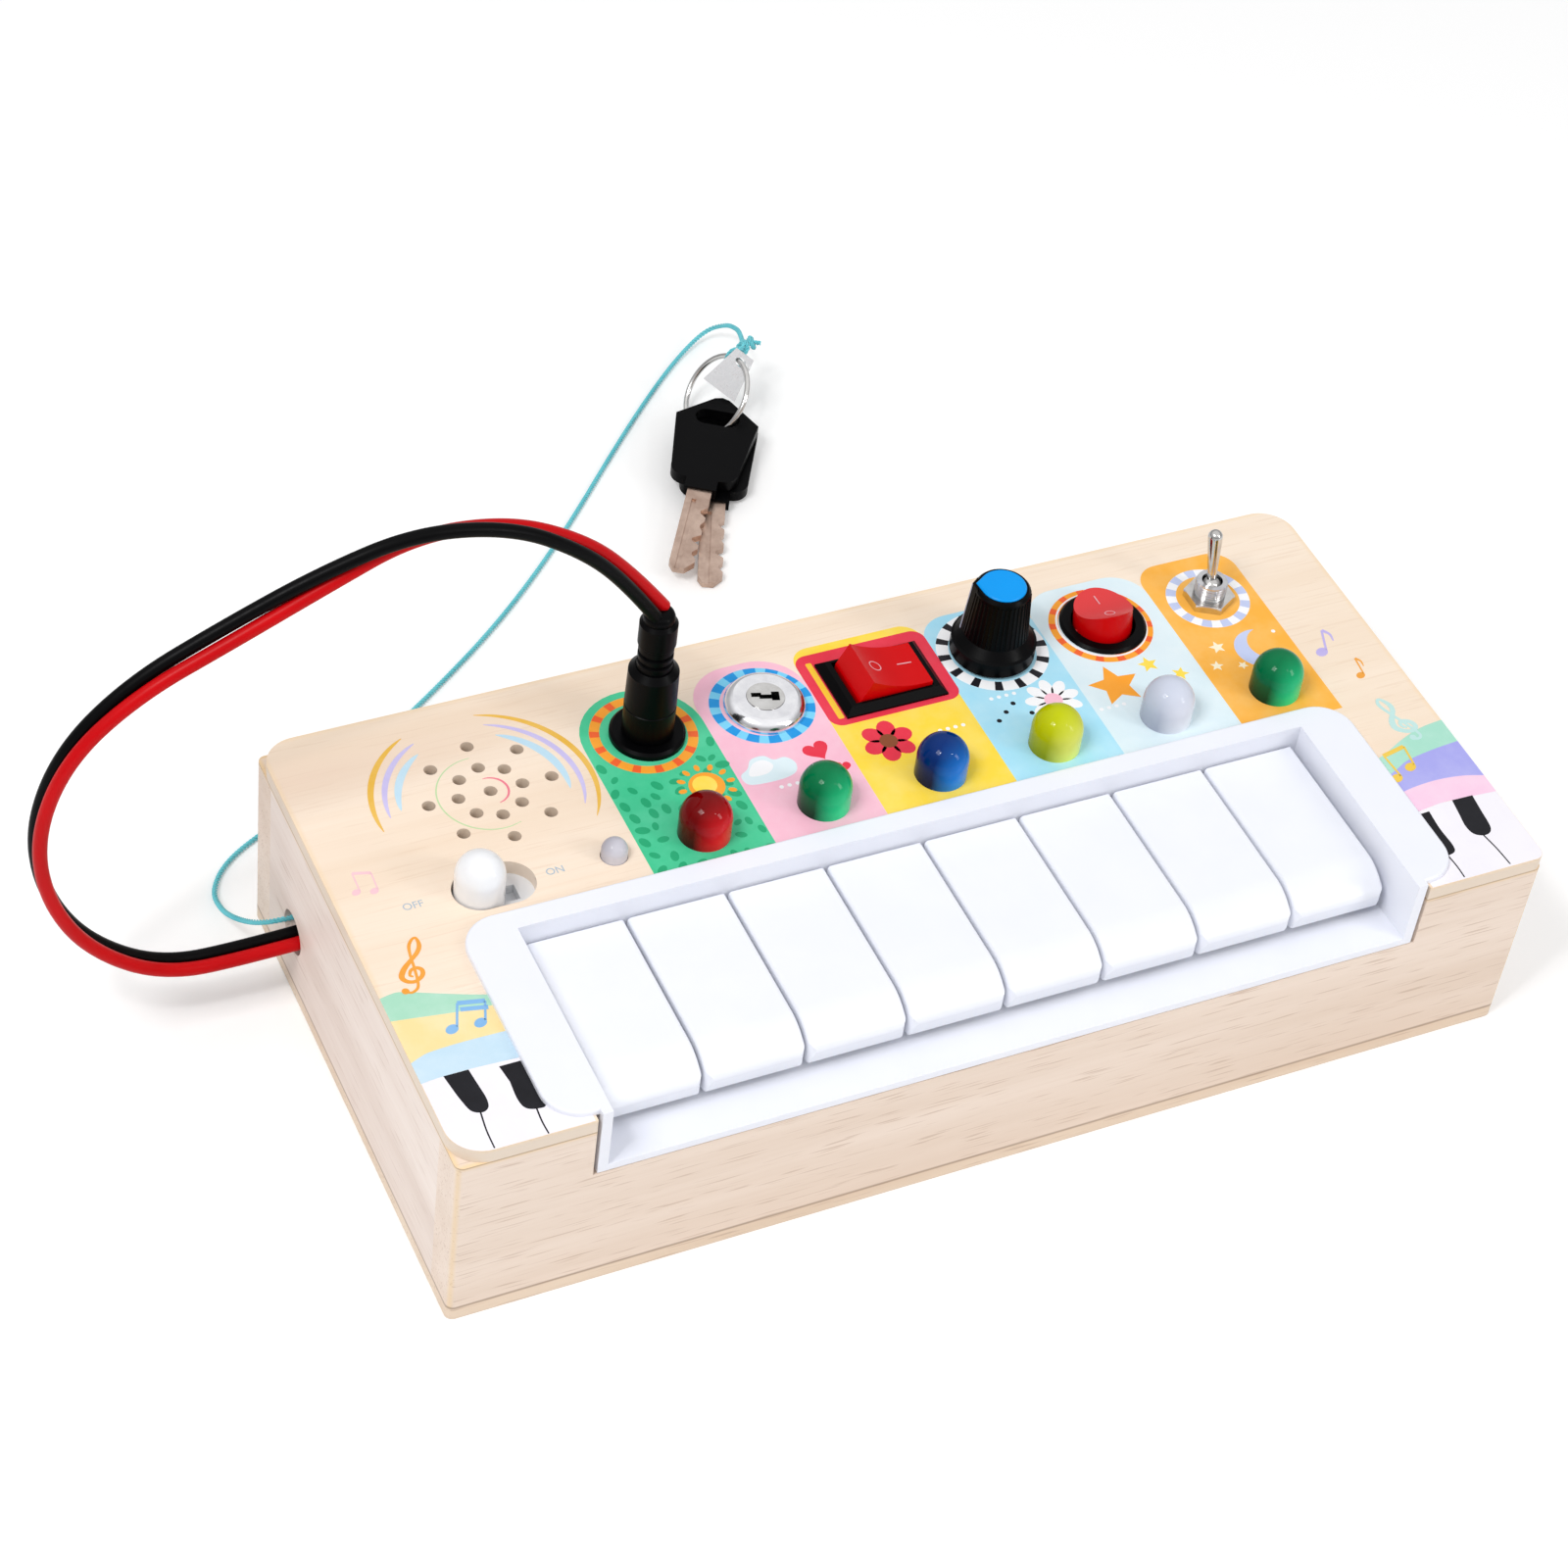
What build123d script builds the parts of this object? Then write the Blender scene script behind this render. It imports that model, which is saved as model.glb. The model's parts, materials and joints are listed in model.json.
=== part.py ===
from build123d import *
import math
import os

# Wooden busy board, in millimetres. +X runs to the right along the board, +Y to the
# back and +Z up. The origin is under the middle of the board, on the surface it stands on.

os.makedirs("parts", exist_ok=True)

# Case: pine walls between a plywood lid and a plywood base
LENGTH = 214.0
DEPTH = 101.5
HEIGHT = 44.0
PLY = 3.0
WALL = 8.0
LID_CORNER = 6.5
WALL_CORNER = 1.5
SHARP_CORNER = 2.0

# General clearances
LOOSE = 0.3
HOLE_GAP = 0.1
RUNNING = 0.05

END = LENGTH / 2
BACK = DEPTH / 2
FRONT = -BACK
TOP = HEIGHT
UNDER = TOP - PLY

# Keyboard: eight keys in a white moulded tub let into the front edge
KEY_COUNT = 8
KEY_PITCH = 19.55
KEY_GAP = 0.7
KEY_DROP = 3.2
KEY_SHELL = 1.6
KEY_SKIRT = 7.6
KEY_NOSE_DROP = 3.5
KEY_NOSE_RUN = 4.5
KEY_NOSE_RADIUS = 1.6
KEY_LEAN = 1.0
KEY_BREAK_RADIUS = 9.0
KEY_EDGE = 0.7
KEY_CORNER = 2.0
KEY_LENGTH = 36.5
KEY_SETBACK = 0.5
ROD_RADIUS = 1.2
ROD_BEHIND = 4.0
ROD_DEPTH = 4.5
EYE_RADIUS = 2.3
EYE_THICKNESS = 1.2
SADDLE_WIDTH = 2.0
SADDLE_HALF = 2.0
STRIKER_REACH = 18.0
STRIKER_LENGTH = 2.9
PAD_RADIUS = 3.6
PAD_PLAY = 1.2
KEY_BOARD_SHEET = 0.8

TUB_WALL = 1.9
TUB_FLOOR = 1.5
TUB_SIDE_GAP = 1.0
TUB_DEPTH = 14.3
TUB_REACH = 45.7
NOTCH_GAP = 0.8
SHELF_GAP = 0.2
FLANGE = 1.2
FLANGE_SIDE = 8.3
FLANGE_BACK = 2.6
FLANGE_FRONT = 1.25
FLANGE_CORNER = 7.0
FLANGE_EDGE = 0.5

# Six stations of a control and a lamp, side by side
STATION_COUNT = 6
STATION_PITCH = 23.75
STATION_FIRST = -38.6
CONTROL_INSET = 19.55
LAMP_INSET = 46.0

LAMP_RADIUS = 4.9
LAMP_STAND = 9.0
LAMP_FLANGE = 1.1
LAMP_LIP = 0.7
PILOT_RADIUS = 2.45
PILOT_STAND = 3.9
PILOT_X = 50.9
LEAD_SIZE = 0.5
LEAD_LENGTH = 7.0

# Loudspeaker behind rings of drilled holes, near the back left corner
SPEAKER_X = 35.9
SPEAKER_Y = 24.05
SPEAKER_RADIUS = 14.0
SPEAKER_DEPTH = 5.0
SPEAKER_RIM = 1.0
MAGNET_RADIUS = 8.0
MAGNET_DEPTH = 4.0
SOUND_HOLE = 1.25
SOUND_RINGS = (6.18, 11.85)
SOUND_COUNT = 8

# Slide switch
SLOT_X = 28.0
SLOT_LENGTH = 15.5
SLOT_WIDTH = 10.0
SLIDE_CAP_RADIUS = 4.6
SLIDE_CAP_STAND = 8.5
SLIDE_TRAVEL = 5.5
SLIDE_STEM = 3.0
SLIDE_PLATE = 1.0
SLIDE_BODY = 6.5
SLIDE_WELL = 2.0

# Power socket and its plug
SOCKET_FLANGE_RADIUS = 7.1
SOCKET_FLANGE = 1.5
SOCKET_BARREL = 5.9
SOCKET_DEPTH = 11.0
PLUG_TIP_RADIUS = 2.75
PLUG_TIP_BORE = 1.25
PLUG_TIP_LENGTH = 9.3
SOCKET_PIN = 1.0
PLUG_RADIUS = 4.85
PLUG_BODY = 16.2
PLUG_NECK_RADIUS = 3.3
PLUG_NECK = 5.5
PLUG_RELIEF_RADIUS = 3.55
PLUG_RELIEF = 6.0
PLUG_GROOVE = 0.45

# Key lock
LOCK_RADIUS = 7.8
LOCK_STAND = 2.4
LOCK_FACE_RADIUS = 6.1
LOCK_DOME = 2.4
LOCK_BARREL = 5.9
LOCK_DEPTH = 15.0
CORE_RADIUS = 3.6
CORE_STAND = 0.15
KEYWAY_DEPTH = 14.0
KEYWAY_TURN = -17.0

# Rectangular rocker
ROCKER_X = 0.1
ROCKER_Y = -0.7
ROCKER_LENGTH = 21.0
ROCKER_WIDTH = 15.0
ROCKER_RIM = 1.8
ROCKER_BEVEL = 1.3
ROCKER_WALL_X = 1.4
ROCKER_WALL_Y = 0.8
ROCKER_DEPTH = 12.0
ROCKER_STEP = 1.0
ROCKER_PIVOT = 1.5
ROCKER_TILT = 15.0
PADDLE_TOP = 6.0
PADDLE_HALF_TOP = 6.55
PADDLE_HALF = 7.7
PADDLE_HALF_WIDTH = 5.5
PADDLE_FOOT = 2.5
PADDLE_HOLLOW = 1.1
PIN_RADIUS = 1.0
PIN_BITE = 0.5

# Round rocker
ROUND_RADIUS = 8.5
ROUND_RIM = 0.8
ROUND_SHIFT = 0.4
ROUND_PIVOT = 0.5
ROUND_BARREL = 7.5
ROUND_DEPTH = 12.0
ROUND_OPENING = 6.3
ROUND_PADDLE = 5.7
ROUND_RISE = 5.4
ROUND_HOLLOW = 1.3
ROUND_TILT = 13.0

# Rotary control and knob
POT_RADIUS = 8.2
POT_DEPTH = 8.0
BUSH_RADIUS = 3.4
BUSH_TOP = 4.5
SHAFT_RADIUS = 3.0
KNOB_SKIRT = 8.2
KNOB_SKIRT_HEIGHT = 2.9
KNOB_CONE = 1.9
KNOB_WAIST = 6.2
KNOB_CROWN = 5.3
KNOB_TOP = 16.7
KNOB_CLEAR = 0.8
CAP_RADIUS = 4.45
CAP_POINT = 5.2
CAP_SINK = 0.8
CAP_RISE = 0.4
POINTER_AZIMUTH = 153.0
RIDGE_PROUD = 0.55
RIDGE_RUN = 1.0
RIDGE_HALF = 1.9

# Toggle switch
TOGGLE_LENGTH = 13.0
TOGGLE_WIDTH = 8.0
TOGGLE_DEPTH = 10.0
TOGGLE_BUSH = 3.0
TOGGLE_BUSH_TOP = 5.0
TOGGLE_BORE = 2.05
TOGGLE_BALL = 2.0
TOGGLE_PIVOT = 3.4
TOGGLE_LEVER = 12.6
TOGGLE_NECK = 0.95
TOGGLE_TIP = 1.45
TOGGLE_TILT = 12.0

# Hexagon nuts: across flats and thickness
BIG_NUT = 15.0
BIG_NUT_HEIGHT = 2.5
POT_NUT = 9.6
POT_NUT_HEIGHT = 2.0
TOGGLE_NUT = 8.7
TOGGLE_NUT_HEIGHT = 1.8

# Battery compartment for three small round cells, in the base
CELL_RADIUS = 5.2
CELL_LENGTH = 43.6
CELL_COUNT = 3
CELL_PITCH = 11.2
CELL_NUB = 1.9
CELL_NUB_LENGTH = 0.9
BAY_END_ROOM = 6.0
BAY_SCREW_ROOM = 8.0
BAY_WALL = 1.2
BAY_LIP = 3.0
BAY_LIP_HEIGHT = 1.5
BAY_Y = 12.0
DOOR_SINK = 0.5
DOOR_THICKNESS = PLY - 2 * DOOR_SINK
SCREW_RADIUS = 1.1
SCREW_HEAD = 2.3
SCREW_LENGTH = 9.0
SCREW_BOSS = 2.8

# Circuit board on four posts
BOARD_LENGTH = 50.0
BOARD_WIDTH = 30.0
BOARD_THICKNESS = 1.6
BOARD_STANDOFF = 5.0
BOARD_X = -68.0
BOARD_Y = -24.0

# Outlet for the power wires and the key cord, in the left wall
OUTLET_Y = 30.0
OUTLET_Z = 15.6
OUTLET_RADIUS = 4.4

WIRE_RADIUS = 1.3
CORD_RADIUS = 0.5

# Loose keys
BOW_THICKNESS = 2.6
BLADE_THICKNESS = 1.6
BLADE_WIDTH = 5.2
BLADE_LENGTH = 24.0
BOW_LENGTH = 29.0
BOW_HALF = 9.0
BOW_SHOULDER = 7.0
BOW_WAIST = 7.3
BOW_HIP = 22.4
BOW_FOOT = 3.4
BOW_ANKLE = 26.0
RING_SLOT_LENGTH = 9.6
RING_SLOT_WIDTH = 4.6
RING_SLOT_INSET = 6.6
RING_RADIUS = 9.0
RING_WIRE = 0.6
RING_TILT = 53.0
TAG_THICKNESS = 0.6
TAG_LENGTH = 7.7
TAG_HALF_TOP = 2.3
TAG_HALF = 4.2

# Worked-out places
KEY_WIDTH = KEY_PITCH - KEY_GAP
KEYS_HALF = KEY_COUNT * KEY_PITCH / 2
TUB_INNER = KEYS_HALF + TUB_SIDE_GAP
TUB_OUTER = TUB_INNER + TUB_WALL
TUB_BACK = FRONT + TUB_REACH
TUB_INNER_BACK = TUB_BACK - TUB_WALL
TUB_BOTTOM = TOP - TUB_DEPTH
TUB_TOP_OF_FLOOR = TUB_BOTTOM + TUB_FLOOR
NOTCH_HALF = TUB_OUTER + NOTCH_GAP
NOTCH_BOTTOM = TUB_BOTTOM - SHELF_GAP
KEY_BACK = TUB_INNER_BACK - KEY_SETBACK
KEY_FRONT = KEY_BACK - KEY_LENGTH
KEY_TOP = TOP - KEY_DROP
KEY_LOW = KEY_TOP - KEY_SKIRT
ROD_Y = KEY_BACK - ROD_BEHIND
ROD_Z = KEY_TOP - ROD_DEPTH
STRIKER_Y = ROD_Y - STRIKER_REACH
STRIKER_Z = KEY_TOP - KEY_SHELL - STRIKER_LENGTH
PAD_TOP = STRIKER_Z - PAD_PLAY
KEY_BOARD_TOP = TUB_TOP_OF_FLOOR + KEY_BOARD_SHEET

CONTROL_Y = BACK - CONTROL_INSET
LAMP_Y = BACK - LAMP_INSET
SPEAKER = (-END + SPEAKER_X, BACK - SPEAKER_Y)
SLOT = (-END + SLOT_X, LAMP_Y)
SLIDE_REST = SLOT[0] - SLIDE_TRAVEL / 2
PILOT = (-END + PILOT_X, LAMP_Y)
SOCKET_X, LOCK_X, ROCKER_STATION, POT_X, ROUND_X, TOGGLE_X = [
    STATION_FIRST + STATION_PITCH * place for place in range(STATION_COUNT)
]
ROCKER = (ROCKER_STATION + ROCKER_X, CONTROL_Y + ROCKER_Y)
ROUND_X += ROUND_SHIFT

BAY_LENGTH = CELL_LENGTH + BAY_END_ROOM + BAY_SCREW_ROOM
BAY_WIDTH = CELL_PITCH * CELL_COUNT + 1.0
BAY_TOP = PLY + 2 * CELL_RADIUS + 2 * LOOSE
DOOR_LENGTH = BAY_LENGTH + 2 * BAY_WALL
DOOR_WIDTH = BAY_WIDTH + 2 * BAY_WALL
SCREW_X = BAY_LENGTH / 2 - SCREW_BOSS - LOOSE


def block(x0, x1, y0, y1, z0, z1):
    middle = Pos((x0 + x1) / 2, (y0 + y1) / 2, (z0 + z1) / 2)
    return middle * Box(x1 - x0, y1 - y0, z1 - z0)


def post(x, y, z0, z1, radius):
    return Pos(x, y, (z0 + z1) / 2) * Cylinder(radius, z1 - z0)


def bar(x0, x1, y, z, radius):
    # A round bar along X
    return Pos((x0 + x1) / 2, y, z) * Rot(0, 90, 0) * Cylinder(radius, x1 - x0)


def turned(x, y, profile):
    # A turned piece from the (radius, height) corners of its half section
    half = make_face(Polyline(*profile, close=True))
    return Pos(x, y, 0) * revolve(Plane.XZ * half, Axis.Z)


def nut(x, y, z, flats, height, bore):
    outline = RegularPolygon(flats / 2, 6, major_radius=False, rotation=30)
    return Pos(x, y, z) * extrude(outline - Circle(bore), height)


def save(shape, node):
    export_step(shape, f"parts/{node}.step")


# ---- Case ----

def lid_cuts():
    through = (UNDER - 1, TOP + 1)
    cuts = [block(-NOTCH_HALF, NOTCH_HALF, FRONT - 1, TUB_BACK + HOLE_GAP * 4, *through)]
    cuts.append(post(*SPEAKER, *through, SOUND_HOLE))
    for ring in SOUND_RINGS:
        for spot in PolarLocations(ring, SOUND_COUNT):
            cuts.append(Pos(*SPEAKER, TOP) * spot * Cylinder(SOUND_HOLE, 4 * PLY))
    slot = extrude(SlotOverall(SLOT_LENGTH, SLOT_WIDTH), 2 * PLY)
    cuts.append(Pos(*SLOT, UNDER - PLY / 2) * slot)
    cuts.append(post(*PILOT, *through, PILOT_RADIUS + HOLE_GAP))
    for place in range(STATION_COUNT):
        x = STATION_FIRST + STATION_PITCH * place
        cuts.append(post(x, LAMP_Y, *through, LAMP_RADIUS + HOLE_GAP))
    cuts.append(post(SOCKET_X, CONTROL_Y, *through, SOCKET_BARREL + HOLE_GAP))
    cuts.append(post(LOCK_X, CONTROL_Y, *through, LOCK_BARREL + HOLE_GAP))
    half_x = ROCKER_LENGTH / 2 - ROCKER_STEP + HOLE_GAP
    half_y = ROCKER_WIDTH / 2 - ROCKER_STEP + HOLE_GAP
    cuts.append(Pos(*ROCKER, TOP) * Box(2 * half_x, 2 * half_y, 4 * PLY))
    cuts.append(post(POT_X, CONTROL_Y, *through, BUSH_RADIUS + HOLE_GAP))
    cuts.append(post(ROUND_X, CONTROL_Y, *through, ROUND_BARREL + HOLE_GAP))
    cuts.append(post(TOGGLE_X, CONTROL_Y, *through, TOGGLE_BUSH + HOLE_GAP))
    return cuts


def make_lid():
    # Three corners are well rounded, the one at the front right is nearly square
    outline = RectangleRounded(LENGTH, DEPTH, LID_CORNER)
    patch = RectangleRounded(2 * LID_CORNER, 2 * LID_CORNER, SHARP_CORNER)
    outline += Pos(END - LID_CORNER, FRONT + LID_CORNER) * patch
    blank = Pos(0, 0, UNDER) * extrude(outline, PLY)
    save(blank - lid_cuts(), "top_panel")


def make_walls():
    front = block(-END, END, FRONT, FRONT + WALL, PLY, UNDER)
    front = fillet(front.edges().filter_by(Axis.Z).group_by(Axis.Y)[0], WALL_CORNER)
    front -= block(-NOTCH_HALF, NOTCH_HALF, FRONT - 1, FRONT + WALL + 1, NOTCH_BOTTOM, TOP)
    save(front, "front_wall")
    back = block(-END, END, BACK - WALL, BACK, PLY, UNDER)
    back = fillet(back.edges().filter_by(Axis.Z).group_by(Axis.Y)[-1], WALL_CORNER)
    save(back, "back_wall")
    side = block(-WALL / 2, WALL / 2, FRONT + WALL, BACK - WALL, PLY, UNDER)
    save(Pos(END - WALL / 2, 0, 0) * side, "right_wall")
    outlet = bar(-END - 1, -END + WALL + 1, OUTLET_Y, OUTLET_Z, OUTLET_RADIUS)
    save(Pos(-END + WALL / 2, 0, 0) * side - outlet, "left_wall")


def make_base():
    base = extrude(RectangleRounded(LENGTH, DEPTH, WALL_CORNER), PLY)
    opening = Box(DOOR_LENGTH + 2 * LOOSE, DOOR_WIDTH + 2 * LOOSE, 4 * PLY)
    save(base - Pos(0, BAY_Y, 0) * opening, "bottom_panel")


def make_battery_bay():
    length = DOOR_LENGTH
    width = DOOR_WIDTH
    bay = Pos(0, BAY_Y, PLY) * extrude(Rectangle(length, width), BAY_TOP + BAY_WALL - PLY)
    lip = Rectangle(length + 2 * BAY_LIP, width + 2 * BAY_LIP)
    bay += Pos(0, BAY_Y, PLY) * extrude(lip, BAY_LIP_HEIGHT)
    bay -= Pos(0, BAY_Y, 0) * extrude(Rectangle(BAY_LENGTH, BAY_WIDTH), BAY_TOP)
    for side in (-1, 1):
        rib_y = BAY_Y + side * CELL_PITCH / 2
        rib_end = SCREW_X - SCREW_BOSS - 2 * LOOSE
        rib_height = CELL_RADIUS - LOOSE
        rib = block(-BAY_LENGTH / 2, rib_end, rib_y - 0.3, rib_y + 0.3, BAY_TOP - rib_height, BAY_TOP)
        bay += rib
    boss = post(SCREW_X, BAY_Y, PLY + LOOSE, BAY_TOP, SCREW_BOSS)
    bay += boss
    bay -= post(SCREW_X, BAY_Y, 0, PLY + SCREW_LENGTH, SCREW_RADIUS)
    save(bay, "battery_box")

    door = Pos(0, BAY_Y, DOOR_SINK) * extrude(Rectangle(length, width), DOOR_THICKNESS)
    door -= post(SCREW_X, BAY_Y, 0, PLY, SCREW_RADIUS + HOLE_GAP)
    door -= Pos(SCREW_X, BAY_Y, DOOR_SINK) * extrude(Circle(SCREW_HEAD + HOLE_GAP), 1.0)
    for grip in range(3):
        x = -length / 2 + 8 + 2.4 * grip
        door -= block(x, x + 1.2, BAY_Y - 7, BAY_Y + 7, DOOR_SINK - 1, DOOR_SINK + 0.6)
    save(door, "battery_door")

    cells = []
    cell_x = -BAY_LENGTH / 2 + BAY_END_ROOM / 2
    cell_z = BAY_TOP - CELL_RADIUS - LOOSE
    for row in range(CELL_COUNT):
        y = BAY_Y + (row - 1) * CELL_PITCH
        can = bar(cell_x + CELL_NUB_LENGTH, cell_x + CELL_LENGTH, y, cell_z, CELL_RADIUS)
        nub = bar(cell_x, cell_x + CELL_NUB_LENGTH, y, cell_z, CELL_NUB)
        cell = can + nub
        if row % 2:
            cell = cell.mirror(Plane.YZ.offset(cell_x + CELL_LENGTH / 2))
        cells.append(cell)
    save(Compound(children=cells), "batteries")

    head = post(SCREW_X, BAY_Y, DOOR_SINK + 0.1, DOOR_SINK + 1.0, SCREW_HEAD)
    head -= Pos(SCREW_X, BAY_Y, DOOR_SINK) * Box(2.6, 0.7, 1.2)
    head -= Pos(SCREW_X, BAY_Y, DOOR_SINK) * Box(0.7, 2.6, 1.2)
    shank = post(SCREW_X, BAY_Y, DOOR_SINK + 1.0, PLY + SCREW_LENGTH - 1, SCREW_RADIUS)
    save(head + shank, "case_screws")


def make_circuit_board():
    z = PLY + BOARD_STANDOFF
    board = Box(BOARD_LENGTH, BOARD_WIDTH, BOARD_THICKNESS)
    pieces = [Pos(BOARD_X, BOARD_Y, z + BOARD_THICKNESS / 2) * board]
    for spot in GridLocations(BOARD_LENGTH - 8, BOARD_WIDTH - 8, 2, 2):
        pieces.append(Pos(BOARD_X, BOARD_Y, PLY + BOARD_STANDOFF / 2) * spot * Cylinder(2.2, BOARD_STANDOFF))
    chip_z = z + BOARD_THICKNESS + 1.0
    pieces.append(Pos(BOARD_X - 8, BOARD_Y, chip_z) * Box(12, 8, 2.0))
    pieces.append(Pos(BOARD_X + 10, BOARD_Y + 4, chip_z) * Box(6, 5, 2.0))
    save(Compound(children=pieces), "main_board")


# ---- Keyboard ----

def make_keyboard_frame():
    flange_front = FRONT + FLANGE_FRONT
    flange_back = TUB_BACK + FLANGE_BACK
    flange_width = 2 * (TUB_OUTER + FLANGE_SIDE)
    flange_depth = flange_back - flange_front
    outline = RectangleRounded(flange_width, flange_depth, FLANGE_CORNER)
    flange = Pos(0, (flange_front + flange_back) / 2, TOP) * extrude(outline, FLANGE)
    flange = fillet(flange.faces().sort_by(Axis.Z)[-1].edges(), FLANGE_EDGE)
    tub = block(-TUB_OUTER, TUB_OUTER, FRONT + 0.05, TUB_BACK, TUB_BOTTOM, TOP + FLANGE)
    frame = flange + tub
    frame -= block(-TUB_INNER, TUB_INNER, FRONT - 1, TUB_INNER_BACK, TUB_TOP_OF_FLOOR, TOP + 9)
    # The key rod sits in the side walls and in one open saddle under the middle of each key
    saddle_top = ROD_Z + ROD_RADIUS
    for place in range(KEY_COUNT):
        x = -KEYS_HALF + KEY_PITCH * (place + 0.5)
        left = x - SADDLE_WIDTH / 2
        right = x + SADDLE_WIDTH / 2
        frame += block(left, right, ROD_Y - SADDLE_HALF, ROD_Y + SADDLE_HALF, TUB_BOTTOM, saddle_top)
    grip = ROD_RADIUS + HOLE_GAP
    frame -= bar(-TUB_OUTER - 1, TUB_OUTER + 1, ROD_Y, ROD_Z, grip)
    frame -= block(-TUB_INNER, TUB_INNER, ROD_Y - grip, ROD_Y + grip, ROD_Z, saddle_top + 1)
    save(frame, "keyboard_frame")
    save(bar(-TUB_OUTER, TUB_OUTER, ROD_Y, ROD_Z, ROD_RADIUS), "key_rod")


def key_side(inset, low):
    # Side view of a key: flat top, a nose that falls away, and a front face leaning back
    nose = KEY_FRONT + inset
    brow = nose + KEY_NOSE_RUN
    crown = KEY_TOP - inset
    corners = [
        (KEY_BACK - inset, low),
        (KEY_BACK - inset, crown),
        (brow, crown),
        (nose, crown - KEY_NOSE_DROP),
        (nose + KEY_LEAN, low),
    ]
    return make_face(Polyline(*corners, close=True))


def key_block(side, width):
    return Pos(-width / 2, 0, 0) * extrude(Plane.YZ * side, width)


def make_piano_key():
    side = key_side(0, KEY_LOW)
    brow = KEY_FRONT + KEY_NOSE_RUN
    for spot, radius in ((KEY_FRONT, KEY_NOSE_RADIUS), (brow, KEY_BREAK_RADIUS)):
        side = fillet(side.vertices().filter_by_position(Axis.X, spot - 0.1, spot + 0.1), radius)
    key = key_block(side, KEY_WIDTH)
    key = fillet(key.edges().filter_by(Axis.Y).group_by(Axis.Z)[-1], KEY_EDGE)
    for side in (-1, 1):
        x = side * (KEY_WIDTH / 2 - KEY_CORNER)
        corner = Box(2 * KEY_CORNER, 2 * KEY_CORNER, 4 * KEY_SKIRT)
        corner = Pos(x + side * KEY_CORNER, KEY_FRONT, KEY_TOP) * corner
        key -= corner - post(x, KEY_FRONT + KEY_CORNER, KEY_LOW - 1, KEY_TOP + 1, KEY_CORNER)
    key -= key_block(key_side(KEY_SHELL, KEY_LOW - 1), KEY_WIDTH - 2 * KEY_SHELL)
    # Hinge eyes inside both skirts
    inner = KEY_WIDTH / 2 - KEY_SHELL
    key += bar(-inner, -inner + EYE_THICKNESS, ROD_Y, ROD_Z, EYE_RADIUS)
    key += bar(inner - EYE_THICKNESS, inner, ROD_Y, ROD_Z, EYE_RADIUS)
    key -= bar(-KEY_WIDTH, KEY_WIDTH, ROD_Y, ROD_Z, ROD_RADIUS + RUNNING)
    # The striker, a cross of two ribs, presses the rubber pad
    roof = KEY_TOP - KEY_SHELL
    key += block(-0.7, 0.7, STRIKER_Y - 3, STRIKER_Y + 3, STRIKER_Z, roof)
    key += block(-inner, inner, STRIKER_Y - 0.7, STRIKER_Y + 0.7, STRIKER_Z, roof)
    return key


def make_keys():
    key = make_piano_key()
    pads = []
    for place in range(KEY_COUNT):
        x = -KEYS_HALF + KEY_PITCH * (place + 0.5)
        save(Pos(x, 0, 0) * key, f"key_{place + 1}")
        height = PAD_TOP - KEY_BOARD_TOP
        dome = Pos(x, STRIKER_Y, KEY_BOARD_TOP) * extrude(Circle(PAD_RADIUS), height, taper=12)
        pads.append(dome)
    save(Compound(children=pads), "key_pads")
    half = KEYS_HALF - 2
    board = block(-half, half, STRIKER_Y - PAD_RADIUS - 0.4, STRIKER_Y + 9, TUB_TOP_OF_FLOOR, KEY_BOARD_TOP)
    save(board, "key_board")


# ---- Lamps ----

def lamp(x, y, radius, stand):
    shoulder = TOP + stand - radius
    flange = UNDER - LAMP_FLANGE
    half = make_face(
        Polyline(
            (0, TOP + stand),
            (0, flange),
            (radius + LAMP_LIP, flange),
            (radius + LAMP_LIP, UNDER),
            (radius, UNDER),
            (radius, shoulder),
        )
        + RadiusArc((radius, shoulder), (0, TOP + stand), -radius)
    )
    bulb = Pos(x, y, 0) * revolve(Plane.XZ * half, Axis.Z)
    for side in (-1, 1):
        lead = Box(LEAD_SIZE, LEAD_SIZE, LEAD_LENGTH)
        bulb += Pos(x + side * 1.27, y, flange - LEAD_LENGTH / 2) * lead
    return bulb


def make_lamps():
    names = ("led_red", "led_green_left", "led_blue", "led_yellow", "led_white", "led_green_right")
    for place, name in enumerate(names):
        x = STATION_FIRST + STATION_PITCH * place
        save(lamp(x, LAMP_Y, LAMP_RADIUS, LAMP_STAND), name)
    save(lamp(*PILOT, PILOT_RADIUS, PILOT_STAND), "power_led")


# ---- Loudspeaker ----

def make_speaker():
    rim = UNDER - SPEAKER_RIM
    basket = UNDER - SPEAKER_DEPTH
    magnet = basket - MAGNET_DEPTH
    outside = [
        (0, magnet),
        (MAGNET_RADIUS, magnet),
        (MAGNET_RADIUS, basket),
        (SPEAKER_RADIUS - 3, basket),
        (SPEAKER_RADIUS - 1, rim),
        (SPEAKER_RADIUS, rim),
        (SPEAKER_RADIUS, UNDER),
        (SPEAKER_RADIUS - 1.6, UNDER),
        (SPEAKER_RADIUS - 4.2, basket + 1.0),
        (0, basket + 1.0),
    ]
    save(turned(*SPEAKER, outside), "speaker_frame")
    cone = [
        (0, basket + 1.0),
        (SPEAKER_RADIUS - 6, basket + 1.0),
        (SPEAKER_RADIUS - 2.2, UNDER - 0.8),
        (SPEAKER_RADIUS - 2.6, UNDER - 0.8),
        (SPEAKER_RADIUS - 6.2, basket + 1.4),
        (4.0, basket + 1.4),
        (2.6, basket + 2.4),
        (0, basket + 2.8),
    ]
    save(turned(*SPEAKER, cone), "speaker_cone")


# ---- Controls on the lid ----

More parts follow.
